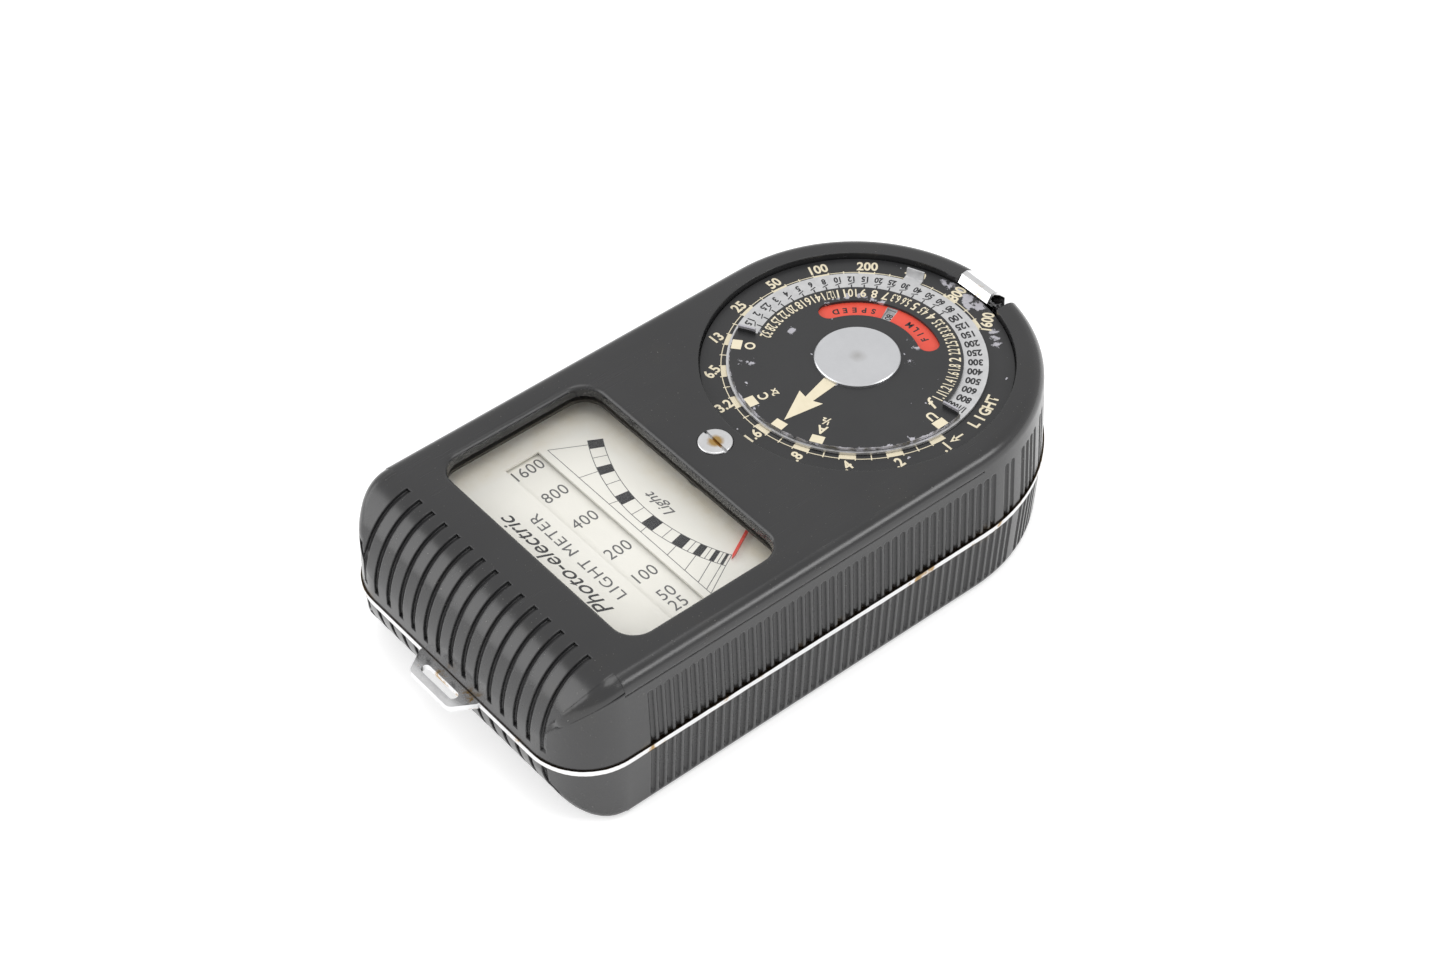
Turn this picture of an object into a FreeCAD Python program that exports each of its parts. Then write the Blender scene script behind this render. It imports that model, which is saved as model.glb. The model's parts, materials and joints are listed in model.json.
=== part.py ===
import FreeCAD, Part
import math
import os
import Sketcher

# Handheld light meter lying on its back, dial up.
# +Z points out of the dial face, +Y towards the round end, +X to the right.
# The origin is under the middle of the meter, on the surface that it rests on.

doc = FreeCAD.newDocument("light_meter")
sheet = doc.addObject("Spreadsheet::Sheet", "Sizes")

SIZES = [
    ("case_width", 62.0, "width across the parting line"),
    ("case_height", 30.4, "rest plane to the dial face"),
    ("square_end", 55.05, "origin to the square end"),
    ("dial_y", 28.25, "origin to the dial axis, also the centre of the round end"),
    ("corner_radius", 10.5, "corners of the square end, seen from above"),
    ("parting_height", 13.4, "middle of the trim band"),
    ("band_height", 1.1, "trim band"),
    ("band_proud", 0.25, "band outside the shells"),
    ("band_land", 2.2, "band inside the shells' outline"),
    ("draft_front", 0.6, "front shell narrows by this much a side"),
    ("draft_rear", 0.8, "rear shell narrows by this much a side"),
    ("shell_wall", 2.6, "moulded wall"),
    ("top_wall", 2.4, "wall behind the face"),
    ("shoulder", 2.6, "rounding between the face and the sides"),
    ("ramp_run", 10.8, "length of the curved square end, from above"),
    ("ramp_drop", 14.5, "height of the curved square end"),
    ("rear_run", 10.5, "curve of the rear shell's square end"),
    ("foot_round", 1.4, "rounding at the foot of the rear shell"),
    ("panel_near", 45.95, "origin to the square end of the recessed back panel"),
    ("flute_pitch", 1.633, "spacing of the grip flutes"),
    ("flute_radius", 0.55, "grip flutes"),
    ("flute_top", 25.0, "upper ends of the grip flutes"),
    ("flute_bottom", 1.9, "lower ends of the grip flutes"),
    ("groove_pitch", 3.27, "spacing of the grooves on the square end"),
    ("groove_radius", 0.6, "grooves on the square end"),
    ("window_half", 24.4, "half the window's width"),
    ("window_near", 38.5, "origin to the window's edge at the square end"),
    ("window_far", 8.4, "origin to the window's edge at the dial"),
    ("window_corner", 4.0, "window corner radius"),
    ("glass_thick", 1.2, "window glass"),
    ("glass_depth", 2.0, "face to the glass"),
    ("recess_radius", 25.85, "dial recess"),
    ("recess_depth", 1.95, "face to the recess floor"),
    ("recess_floor", 1.4, "floor under the dial"),
    ("ring_radius", 25.6, "light ring"),
    ("ring_thick", 0.8, "light ring"),
    ("speed_radius", 21.35, "speed disc"),
    ("exposure_radius", 20.9, "exposure dial"),
    ("disc_thick", 0.45, "speed disc and exposure dial"),
    ("disc_gap", 0.1, "running gap between the discs"),
    ("cut_inner", 17.3, "inner edge of the exposure dial's cut-away"),
    ("slot_radius", 12.2, "middle of the curved slot in the exposure dial"),
    ("slot_half", 1.8, "half the width of the curved slot"),
    ("hub_radius", 7.06, "hub cap"),
    ("hub_height", 0.55, "hub cap"),
    ("spindle_radius", 2.5, "dial spindle"),
    ("fit_gap", 0.05, "running clearance of a shaft"),
    ("pivot_y", 19.0, "origin to the needle's axis"),
    ("scale_top", 24.1, "printed face of the scale plate"),
    ("scale_thick", 0.4, "scale plate"),
    ("slot_near", 27.5, "numeral slot in the scale plate, far from the dial"),
    ("slot_far", 20.8, "numeral slot in the scale plate, near the dial"),
    ("slot_side", 21.8, "half the width of the numeral slot"),
    ("range_shift", 6.7, "travel of the range plate"),
    ("needle_length", 36.0, "axis to the tip"),
    ("needle_rest", 28.3, "needle's angle from the centreline at zero, degrees"),
    ("zero_y", -1.75, "zero screw's axis"),
    ("zero_radius", 2.84, "zero screw's head"),
    ("zero_throw", 0.8, "zero screw's eccentric pin"),
    ("core_radius", 5.0, "moving coil's iron core"),
    ("pole_radius", 7.3, "bore of the pole pieces"),
    ("pole_outer", 11.4, "outside of the pole pieces"),
    ("magnet_radius", 17.0, "outside of the magnet"),
    ("magnet_low", 13.2, "underside of the magnet"),
    ("magnet_thick", 8.0, "magnet"),
    ("chassis_low", 9.4, "underside of the chassis plate"),
    ("chassis_thick", 1.0, "chassis plate"),
    ("panel_depth", 1.4, "recessed panel on the back"),
    ("rim_width", 2.6, "raised rim round the back"),
    ("door_radius", 22.0, "baffle door"),
    ("door_low", 1.5, "outer face of the baffle door"),
    ("door_thick", 1.7, "baffle door"),
    ("hinge_y", 4.0, "door hinge axis"),
    ("hinge_z", 1.4, "door hinge axis above the rest plane"),
    ("knuckle_radius", 1.2, "door hinge knuckles"),
    ("pin_radius", 0.6, "door hinge pin"),
    ("cell_opening", 19.5, "opening in front of the cell"),
    ("cell_radius", 20.5, "photocell"),
    ("latch_width", 7.0, "dial latch"),
    ("latch_travel", 2.3, "sideways travel of the dial latch"),
    ("lug_reach", 4.45, "carrying lug beyond the square end"),
    ("lug_width", 14.8, "carrying lug at the band"),
]


class Size:
    """A number together with the spreadsheet expression that gives it."""

    def __init__(self, value, text):
        self.value = value
        self.text = text

    @staticmethod
    def of(other):
        return other if isinstance(other, Size) else Size(float(other), repr(float(other)))

    def __add__(self, other):
        other = Size.of(other)
        return Size(self.value + other.value, "(%s + %s)" % (self.text, other.text))

    def __sub__(self, other):
        other = Size.of(other)
        return Size(self.value - other.value, "(%s - %s)" % (self.text, other.text))

    def __mul__(self, other):
        other = Size.of(other)
        return Size(self.value * other.value, "(%s * %s)" % (self.text, other.text))

    def __truediv__(self, other):
        other = Size.of(other)
        return Size(self.value / other.value, "(%s / %s)" % (self.text, other.text))

    def __neg__(self):
        return Size(-self.value, "(-1 * %s)" % self.text)

    def __radd__(self, other):
        return Size.of(other) + self

    def __rsub__(self, other):
        return Size.of(other) - self

    def __rmul__(self, other):
        return Size.of(other) * self


class Sheet:
    """Writes the driving sizes into the spreadsheet and keeps each as a Size."""

    def __init__(self, rows):
        for number, (alias, value, note) in enumerate(rows, start=1):
            sheet.set("A%d" % number, alias)
            sheet.set("B%d" % number, str(value))
            sheet.set("C%d" % number, note)
            sheet.setAlias("B%d" % number, alias)
            setattr(self, alias, Size(value, "Sizes." + alias))


s = Sheet(SIZES)
doc.recompute()

half_width = s.case_width / 2
face = s.case_height
band_low = s.parting_height - s.band_height / 2
band_high = s.parting_height + s.band_height / 2
recess_bottom = face - s.recess_depth
ring_top = recess_bottom + s.ring_thick
speed_low = ring_top + s.disc_gap
exposure_low = speed_low + s.disc_thick + s.disc_gap
hub_low = exposure_low + s.disc_thick
chassis_top = s.chassis_low + s.chassis_thick
magnet_top = s.magnet_low + s.magnet_thick
cell_floor = s.door_low + s.door_thick + 1.7
link_y = -s.slot_far + 5.7 + s.range_shift / 2
link_z = Size.of(13.0)

X_AXIS = FreeCAD.Vector(1, 0, 0)
Y_AXIS = FreeCAD.Vector(0, 1, 0)
Z_AXIS = FreeCAD.Vector(0, 0, 1)
parts = {}


# ---------------------------------------------------------------- helpers

def vec(x, y, z):
    return FreeCAD.Vector(x, y, z)


def bind(obj, **sizes):
    """Sets properties from Sizes and ties them to the sheet."""
    for name, size in sizes.items():
        size = Size.of(size)
        setattr(obj, name, size.value)
        if "Sizes" in size.text:
            obj.setExpression(name, size.text)


def place(obj, x=0.0, y=0.0, z=0.0, axis=Z_AXIS, degrees=0.0):
    """Puts an object at a point given in Sizes, turned about an axis."""
    x, y, z = Size.of(x), Size.of(y), Size.of(z)
    turn = FreeCAD.Rotation(axis, degrees)
    obj.Placement = FreeCAD.Placement(vec(x.value, y.value, z.value), turn)
    for letter, size in (("x", x), ("y", y), ("z", z)):
        if "Sizes" in size.text:
            obj.setExpression("Placement.Base." + letter, size.text)
    return obj


def cylinder(radius, height, x=0.0, y=0.0, z=0.0, axis=Z_AXIS, degrees=0.0):
    obj = doc.addObject("Part::Cylinder", "Cylinder")
    bind(obj, Radius=radius, Height=height)
    return place(obj, x, y, z, axis, degrees)


def cross_cylinder(radius, height, x=0.0, y=0.0, z=0.0):
    """A cylinder that runs along +X from the given point."""
    return cylinder(radius, height, x, y, z, Y_AXIS, 90.0)


def cone(low_radius, high_radius, height, x=0.0, y=0.0, z=0.0):
    obj = doc.addObject("Part::Cone", "Cone")
    bind(obj, Radius1=low_radius, Radius2=high_radius, Height=height)
    return place(obj, x, y, z)


def box(length, width, height, x=0.0, y=0.0, z=0.0):
    obj = doc.addObject("Part::Box", "Box")
    bind(obj, Length=length, Width=width, Height=height)
    return place(obj, x, y, z)


def cut(base, tool):
    obj = doc.addObject("Part::Cut", "Cut")
    obj.Base = base
    obj.Tool = tool
    return obj


def join(pieces):
    obj = doc.addObject("Part::MultiFuse", "Fuse")
    obj.Shapes = pieces
    return obj


def tube(outer, inner, height, x=0.0, y=0.0, z=0.0):
    return cut(cylinder(outer, height, x, y, z), cylinder(inner, height, x, y, z))


def part(name, obj):
    """Names a finished sub-part; the name is also its file's name."""
    obj.Label = name
    parts[name] = obj
    return obj


def feature(name, shape, x=0.0, y=0.0, z=0.0):
    """A sub-part whose shape is worked out with Part's own functions, about its own origin."""
    obj = doc.addObject("Part::Feature", name)
    obj.Shape = shape
    turn = shape.Placement.Rotation
    place(obj, x, y, z, turn.Axis, math.degrees(turn.Angle))
    return part(name, obj)


def origin_plane(body, role):
    for item in body.Origin.OriginFeatures:
        if item.Role == role:
            return item
    raise ValueError("no plane called " + role)


def outline_sketch(body, name, corners, role="XY_Plane"):
    """A closed sketch of straight lines; every corner is tied to the sheet."""
    sketch = body.newObject("Sketcher::SketchObject", name)
    sketch.AttachmentSupport = (origin_plane(body, role), [""])
    sketch.MapMode = "FlatFace"
    count = len(corners)
    corners = [(Size.of(a), Size.of(b)) for a, b in corners]
    for index in range(count):
        here, there = corners[index], corners[(index + 1) % count]
        start = vec(here[0].value, here[1].value, 0)
        end = vec(there[0].value, there[1].value, 0)
        sketch.addGeometry(Part.LineSegment(start, end), False)
    for index in range(count):
        sketch.addConstraint(Sketcher.Constraint("Coincident", index, 2, (index + 1) % count, 1))
    for index, (a, b) in enumerate(corners):
        for kind, size in (("DistanceX", a), ("DistanceY", b)):
            number = sketch.addConstraint(Sketcher.Constraint(kind, -1, 1, index, 1, size.value))
            if "Sizes" in size.text:
                sketch.setExpression("Constraints[%d]" % number, size.text)
    return sketch


def turned_body(name, profile, x=0.0, y=0.0, z=0.0):
    """A PartDesign body revolved about its own Z axis from (radius, height) corners."""
    body = doc.addObject("PartDesign::Body", name)
    sketch = outline_sketch(body, name + "_profile", profile, "XZ_Plane")
    doc.recompute()
    turn = body.newObject("PartDesign::Revolution", name + "_turned")
    turn.Profile = sketch
    turn.ReferenceAxis = (sketch, ["V_Axis"])
    turn.Angle = 360.0
    place(body, x, y, z)
    return part(name, body)


def case_outline(grow, z):
    """The meter's plan at one height: straight sides, a round end, two corners."""
    side = half_width.value + grow
    end = -s.square_end.value - grow
    corner = s.corner_radius.value + grow
    top = s.dial_y.value
    low = end + corner
    inset = side - corner
    slant = corner * math.sqrt(0.5)
    right = Part.Arc(vec(inset, end, z), vec(inset + slant, low - slant, z), vec(side, low, z))
    left = Part.Arc(vec(-side, low, z), vec(-inset - slant, low - slant, z), vec(-inset, end, z))
    round_end = Part.Arc(vec(side, top, z), vec(0, top + side, z), vec(-side, top, z))
    edges = [
        Part.LineSegment(vec(-inset, end, z), vec(inset, end, z)).toShape(),
        right.toShape(),
        Part.LineSegment(vec(side, low, z), vec(side, top, z)).toShape(),
        round_end.toShape(),
        Part.LineSegment(vec(-side, top, z), vec(-side, low, z)).toShape(),
        left.toShape(),
    ]
    return Part.Wire(edges)


def prism(wire, height):
    return Part.Face(wire).extrude(vec(0, 0, height))


def drafted(low_grow, low_z, high_grow, high_z):
    return Part.makeLoft([case_outline(low_grow, low_z), case_outline(high_grow, high_z)], True, True)


def extrude_x(points, half):
    """A solid whose section is given in (y, z), from -half to +half along X."""
    corners = [vec(-half, y, z) for y, z in points]
    face_shape = Part.Face(Part.makePolygon(corners + corners[:1]))
    return face_shape.extrude(vec(2 * half, 0, 0))


def rounded_plate(half, near, far, corner, thick, z):
    """A flat plate with rounded corners, centred on X."""
    plate = Part.makeBox(2 * half, far - near, thick, vec(-half, near, z))
    upright = [e for e in plate.Edges if abs(e.tangentAt(e.FirstParameter).z) > 0.9]
    return plate.makeFillet(corner, upright)


def sector(inner, outer, start, end, low, high):
    """A block of a ring about the Z axis through the dial, between two angles."""
    span = Part.makeCylinder(outer, high - low, vec(0, 0, low), Z_AXIS, end - start)
    span = span.cut(Part.makeCylinder(inner, high - low, vec(0, 0, low)))
    span.rotate(vec(0, 0, 0), Z_AXIS, start)
    return span


# ---------------------------------------------------------------- case shells

def wall_stations(first_y):
    """Where the grip flutes stand: points on the outline, with outward directions."""
    side, top, pitch = half_width.value, s.dial_y.value, s.flute_pitch.value
    length = top - first_y
    arc = math.pi * side
    total = 2 * length + arc
    count = int(total / pitch)
    start = (total - count * pitch) / 2
    for number in range(count + 1):
        along = start + number * pitch
        if along < length:
            yield vec(side, first_y + along, 0), vec(1, 0, 0)
        elif along < length + arc:
            angle = (along - length) / side
            out = vec(math.cos(angle), math.sin(angle), 0)
            yield vec(side * out.x, top + side * out.y, 0), out
        else:
            yield vec(-side, top - (along - length - arc), 0), vec(-1, 0, 0)


def flutes(low_z, low_inset, high_z, high_inset, round_low, round_high, first_y):
    """Round-ended flutes that follow the drafted wall between two heights."""
    radius = s.flute_radius.value
    stand_off = radius * 0.2
    tools = []
    for point, out in wall_stations(first_y):
        foot = point + out * (stand_off - low_inset) + vec(0, 0, low_z)
        head = point + out * (stand_off - high_inset) + vec(0, 0, high_z)
        along = head - foot
        tools.append(Part.makeCylinder(radius, along.Length, foot, along))
        if round_low:
            tools.append(Part.makeSphere(radius, foot))
        if round_high:
            tools.append(Part.makeSphere(radius, head))
    return tools


def end_curve(run, drop, base_z, spread):
    """The (y, z) points of the curved square end, an ellipse grown by spread."""
    points = []
    start = -s.square_end.value + run
    for step in range(25):
        angle = math.radians(90.0 * step / 24)
        y = start - (run + spread) * math.sin(angle)
        z = base_z + (drop + math.copysign(spread, drop * spread)) * math.cos(angle)
        points.append((y, z))
    return points


def end_cutter(run, base, drop, beyond):
    """Everything outside a curved square end; its curve just breaks through the flat face."""
    curve = end_curve(run, drop + math.copysign(0.03, drop), base, 0)
    spline = Part.BSplineCurve()
    spline.interpolate([vec(-40, y, z) for y, z in curve])
    (y_top, z_top), (y_end, z_end) = curve[0], curve[-1]
    corners = [(y_end, z_end), (-70, z_end), (-70, beyond), (y_top, beyond), (y_top, z_top)]
    lines = [Part.LineSegment(vec(-40, *first), vec(-40, *last)).toShape()
             for first, last in zip(corners, corners[1:])]
    return Part.Face(Part.Wire([spline.toShape()] + lines)).extrude(vec(80, 0, 0))


def ramp_limit(spread):
    """Everything under the inside of the front shell's curved end."""
    base = face.value - s.ramp_drop.value
    curve = end_curve(s.ramp_run.value, s.ramp_drop.value, base, spread)
    spline = Part.BSplineCurve()
    spline.interpolate([vec(-40, y, z) for y, z in curve])
    y_end, z_end = curve[-1]
    top = curve[0][1]
    loop = [
        spline.toShape(),
        Part.LineSegment(vec(-40, y_end, z_end), vec(-40, y_end, 0)).toShape(),
        Part.LineSegment(vec(-40, y_end, 0), vec(-40, 70, 0)).toShape(),
        Part.LineSegment(vec(-40, 70, 0), vec(-40, 70, top)).toShape(),
        Part.LineSegment(vec(-40, 70, top), vec(-40, curve[0][0], top)).toShape(),
    ]
    return Part.Face(Part.Wire(loop)).extrude(vec(80, 0, 0))


def rear_limit(spread):
    """Everything above the rear shell's curved end."""
    top = band_low.value + 1.0
    curve = end_curve(s.rear_run.value, -top, top, spread)
    spline = Part.BSplineCurve()
    spline.interpolate([vec(-40, y, z) for y, z in curve])
    y_end = curve[-1][0]
    low = curve[0][1]
    loop = [
        spline.toShape(),
        Part.LineSegment(vec(-40, y_end, top), vec(-40, y_end, 30)).toShape(),
        Part.LineSegment(vec(-40, y_end, 30), vec(-40, 70, 30)).toShape(),
        Part.LineSegment(vec(-40, 70, 30), vec(-40, 70, low)).toShape(),
        Part.LineSegment(vec(-40, 70, low), vec(-40, curve[0][0], low)).toShape(),
    ]
    return Part.Face(Part.Wire(loop)).extrude(vec(80, 0, 0))


def groove_row(inner, outer):
    """Fifteen grooves, each cut between two curves given as (y, z) points."""
    near, far = Part.BSplineCurve(), Part.BSplineCurve()
    near.interpolate([vec(0, y, z) for y, z in inner])
    far.interpolate([vec(0, y, z) for y, z in outer])
    loop = [
        near.toShape(),
        Part.LineSegment(vec(0, *inner[-1]), vec(0, *outer[-1])).toShape(),
        far.toShape(),
        Part.LineSegment(vec(0, *outer[0]), vec(0, *inner[0])).toShape(),
    ]
    blade = Part.Face(Part.Wire(Part.__sortEdges__(loop)))
    width = 1.8 * s.groove_radius.value
    tools = []
    for number in range(-7, 8):
        one = blade.extrude(vec(width, 0, 0))
        one.translate(vec(number * s.groove_pitch.value - width / 2, 0, 0))
        tools.append(one)
    return tools


def ramp_grooves():
    """The grooves that run down the front shell's curved square end."""
    base = face.value - s.ramp_drop.value
    depth = s.groove_radius.value
    return groove_row(end_curve(s.ramp_run.value, s.ramp_drop.value, base, -depth)[1:],
                      end_curve(s.ramp_run.value, s.ramp_drop.value, base, 1.0)[1:])


def corner_rounds(run, base, drop, radius, draft_at):
    """Cutters that carry an edge's rounding along both ends of a curved square end."""
    start = -s.square_end.value + run
    centre_x = half_width.value - s.corner_radius.value
    centre_y = -s.square_end.value + s.corner_radius.value
    tools = []
    for side in (1, -1):
        rings = []
        for step in range(11):
            y = start - 0.15 - (run - 0.75) * step / 10
            sine = (start - y) / run
            cosine = math.sqrt(1 - sine * sine)
            end_normal = vec(0, -sine / run, cosine / drop)
            end_normal.normalize()
            reach = s.corner_radius.value - draft_at(base + drop * cosine)
            fall = max(0.0, centre_y - y) / reach
            wall_normal = vec(side * math.sqrt(1 - fall * fall), -fall, 0)
            if end_normal.dot(wall_normal) > 0.94:
                break
            edge = vec(side * centre_x + reach * wall_normal.x, y, base + drop * cosine)
            outward = end_normal + wall_normal
            outward.normalize()
            middle = edge - outward * (radius / outward.dot(end_normal) + 0.04)
            first, last, corner = middle + end_normal * radius, middle + wall_normal * radius, edge + outward * 1.5
            rings.append(Part.Wire([Part.Arc(first, middle + outward * radius, last).toShape(),
                                    Part.makeLine(last, corner), Part.makeLine(corner, first)]))
        tools.append(Part.makeLoft(rings, True, False))
    return tools


def screw_sites():
    """Case screws: two at the square end, two beside the door hinge."""
    return [(21.5, -43.2), (-21.5, -43.2), (25.4, 4.0), (-25.4, 4.0)]


def front_case():
    top = face.value
    low = band_high.value
    high_draft = s.draft_front.value
    shell = drafted(0, low, -high_draft, top)
    rim = [e for e in shell.Edges if e.BoundBox.ZMin > top - 0.01]
    shell = shell.makeFillet(s.shoulder.value, rim)
    shell = shell.cut(end_cutter(s.ramp_run.value, top - s.ramp_drop.value, s.ramp_drop.value, 40))
    shell = shell.cut(corner_rounds(s.ramp_run.value, top - s.ramp_drop.value, s.ramp_drop.value, s.shoulder.value,
                                    lambda z: high_draft * (z - low) / (top - low)))

    crease_z = top - s.shoulder.value - 0.5
    crease = drafted(0.5, crease_z, 0.5, crease_z + 0.3)
    crease = crease.cut(drafted(-high_draft - 0.1, crease_z - 1, -high_draft - 0.1, crease_z + 1))
    crease = crease.common(Part.makeBox(80, s.dial_y.value + 44.5, 5, vec(-40, -44.5, crease_z - 1)))
    shell = shell.cut(crease)

    inner = drafted(-s.shell_wall.value, low - 1, -s.shell_wall.value - high_draft, top - s.top_wall.value)
    inner = inner.common(ramp_limit(-s.shell_wall.value))
    well = Part.makeCylinder(s.recess_radius.value + 2.4, 10,
                             vec(0, s.dial_y.value, recess_bottom.value - s.recess_floor.value))
    inner = inner.cut(well)
    for x, y in screw_sites():
        inner = inner.cut(Part.makeCylinder(2.6, top, vec(x, y, 0)))
    shell = shell.cut(inner)
    pillar = low + 2.0 - chassis_top.value
    shell = shell.fuse([Part.makeCylinder(2.6, pillar, vec(x, y, chassis_top.value)) for x, y in screw_sites()])
    shell = shell.cut([Part.makeCylinder(1.0, 11.0, vec(x, y, chassis_top.value - 0.1)) for x, y in screw_sites()])

    recess = Part.makeCylinder(s.recess_radius.value, 5, vec(0, s.dial_y.value, recess_bottom.value))
    bore = Part.makeCylinder(s.spindle_radius.value + s.fit_gap.value, 10, vec(0, s.dial_y.value, 22))
    window = rounded_plate(s.window_half.value, -s.window_near.value, -s.window_far.value,
                           s.window_corner.value, 6, top - 4)
    rebate = rounded_plate(s.window_half.value + 1.6, -s.window_near.value - 1.6,
                           -s.window_far.value + 1.6, s.window_corner.value + 1,
                           3, top - s.glass_depth.value - 3)
    zero_hole = Part.makeCylinder(1.6, 10, vec(0, s.zero_y.value, 24))
    zero_seat = Part.makeCylinder(s.zero_radius.value + 0.1, 2, vec(0, s.zero_y.value, top - 0.9))
    shell = shell.cut([recess, bore, window, rebate, zero_hole, zero_seat])
    lip = [e for e in shell.Edges
           if e.BoundBox.ZMin > top - 0.01 and e.BoundBox.YMax < -s.window_far.value + 0.1
           and e.BoundBox.YMin > -s.window_near.value - 0.1
           and abs(e.BoundBox.XMin) < s.window_half.value + 0.1
           and abs(e.BoundBox.XMax) < s.window_half.value + 0.1]
    shell = shell.makeFillet(0.8, lip)

    notch = Part.makeBox(s.latch_width.value + s.latch_travel.value + 0.5, 10, 6,
                         vec(-s.latch_width.value / 2 - 0.15, s.dial_y.value + 24.6, top - 4.2))
    notch_edge = [e for e in notch.Edges if abs(e.tangentAt(e.FirstParameter).z) > 0.9
                  and e.BoundBox.XMin > 0 and e.BoundBox.YMin > s.dial_y.value + 30]
    notch = notch.makeFillet(1.4, notch_edge)
    shell = shell.cut(notch)

    low_inset, rise = 0.0, (s.flute_top.value - low) / (top - low)
    tools = flutes(low - 0.5, low_inset, s.flute_top.value, high_draft * rise, False, True, -40.3)
    shell = shell.cut(tools)
    return shell.cut(ramp_grooves())


def rear_case():
    top = band_low.value
    draft = s.draft_rear.value
    shell = drafted(-draft, 0, 0, top)
    foot = [e for e in shell.Edges if e.BoundBox.ZMax < 0.01]
    shell = shell.makeFillet(s.foot_round.value, foot)
    shell = shell.cut(end_cutter(s.rear_run.value, top + 1.0, -top - 1.0, -10))
    shell = shell.cut(corner_rounds(s.rear_run.value, top + 1.0, -top - 1.0, s.foot_round.value,
                                    lambda z: draft * (top - z) / top))

    panel_grow = -draft - s.rim_width.value
    panel = prism(case_outline(panel_grow, -1), 1 + s.panel_depth.value)
    panel = panel.cut(Part.makeBox(80, 20, 10, vec(-40, -s.panel_near.value - 20, -2)))
    shell = shell.cut(panel)

    cavity = drafted(-s.shell_wall.value - draft, s.panel_depth.value + 2.0, -s.shell_wall.value, top + 1)
    cavity = cavity.common(rear_limit(-s.shell_wall.value))
    thick_floor = Part.makeBox(80, 80, cell_floor.value, vec(-40, -1.5, 0))
    cavity = cavity.cut(thick_floor)
    for x, y in screw_sites():
        cavity = cavity.cut(Part.makeCylinder(2.6, s.chassis_low.value, vec(x, y, 0)))
    shell = shell.cut(cavity)

    dial_y = s.dial_y.value
    door_top = s.door_low.value + s.door_thick.value + 0.1
    tools = [
        Part.makeCylinder(s.door_radius.value + 0.3, door_top, vec(0, dial_y, 0)),
        Part.makeBox(12.6, dial_y - s.hinge_y.value, door_top, vec(-6.3, s.hinge_y.value, 0)),
        Part.makeCylinder(s.cell_opening.value, 10, vec(0, dial_y, 0)),
        Part.makeCylinder(s.knuckle_radius.value + 0.35, 22.4,
                          vec(-11.2, s.hinge_y.value, s.hinge_z.value), X_AXIS),
        Part.makeBox(9.0, 4.0, door_top, vec(-4.5, dial_y + s.door_radius.value - 2, 0)),
        Part.makeBox(6.2, 1.0, 4.2, vec(-3.1, dial_y + s.door_radius.value + 1.8, 0)),
    ]
    for x, y in screw_sites():
        tools.append(Part.makeCylinder(1.3, 20, vec(x, y, 0)))
        tools.append(Part.makeCone(2.5, 1.3, 1.2, vec(x, y, s.panel_depth.value)))
    shell = shell.cut(tools)

    fall = (top - s.flute_bottom.value) / top
    shell = shell.cut(flutes(s.flute_bottom.value, draft * fall, top + 0.5, 0.0, True, False, -40.3))
    depth = s.groove_radius.value
    inner = end_curve(s.rear_run.value, -top - 1.0, top + 1.0, -depth)
    outer = end_curve(s.rear_run.value, -top - 1.0, top + 1.0, 1.0)
    return shell.cut(groove_row(inner[8:], outer[8:]))


def trim_band():
    """Plated band held between the shells, in one piece with the carrying lug."""
    low, height = band_low.value, s.band_height.value
    outer = case_outline(s.band_proud.value, low)
    band = prism(outer, height).cut(prism(case_outline(-s.band_land.value, low - 1), height + 2))
    end = -s.square_end.value
    tip = end - s.lug_reach.value
    wide, narrow = s.lug_width.value / 2, s.lug_width.value / 2 - 2.4
    corners = [vec(-wide, end + 1.0, low), vec(wide, end + 1.0, low), vec(wide, end - 0.6, low),
               vec(narrow, tip, low), vec(-narrow, tip, low), vec(-wide, end - 0.6, low)]
    lug = Part.Face(Part.makePolygon(corners + corners[:1])).extrude(vec(0, 0, height))
    tips = [e for e in lug.Edges if abs(e.tangentAt(e.FirstParameter).z) > 0.9 and e.BoundBox.YMax < tip + 0.1]
    lug = lug.makeFillet(1.3, tips)
    slot = rounded_plate(4.3, tip + 1.35, tip + 2.95, 0.75, 4, low - 1)
    band = band.fuse(lug).cut(slot)
    return band.removeSplitter()


feature("front_case", front_case())
feature("rear_case", rear_case())
feature("trim_band", trim_band())


# ---------------------------------------------------------------- window and scale

def window_glass():
    grow = 1.45
    return rounded_plate(s.window_half.value + grow, -s.window_near.value - grow,
                         -s.window_far.value + grow, s.window_corner.value + 1, s.glass_thick.value,
                         face.value - s.glass_depth.value - s.glass_thick.value)


def window_gasket():
    low = face.value - s.glass_depth.value - s.glass_thick.value - 0.6
    outer = rounded_plate(s.window_half.value + 1.4, -s.window_near.value - 1.4,
                          -s.window_far.value + 1.4, s.window_corner.value + 1, 0.6, low)
    inner = rounded_plate(s.window_half.value + 0.3, -s.window_near.value - 0.3,
                          -s.window_far.value + 0.3, s.window_corner.value, 2, low - 1)
    return outer.cut(inner)


def post_sites():
    return [(25.2, -38.5), (-25.2, -38.5), (24.5, -5.6), (-24.5, -5.6)]


def scale_plate():
    low = s.scale_top.value - s.scale_thick.value
    plate = rounded_plate(27.2, -40.3, -3.6, 2.0, s.scale_thick.value, low)
    slot = Part.makeBox(2 * s.slot_side.value, s.slot_near.value - s.slot_far.value, 4,
                        vec(-s.slot_side.value, -s.slot_near.value, low - 1))
    holes = [Part.makeCylinder(0.75, 4, vec(x, y, low - 1)) for x, y in post_sites()]
    relief = Part.makeCylinder(5.0, 4, vec(0, s.zero_y.value, low - 1))
    return plate.cut([slot, relief] + holes)


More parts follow.
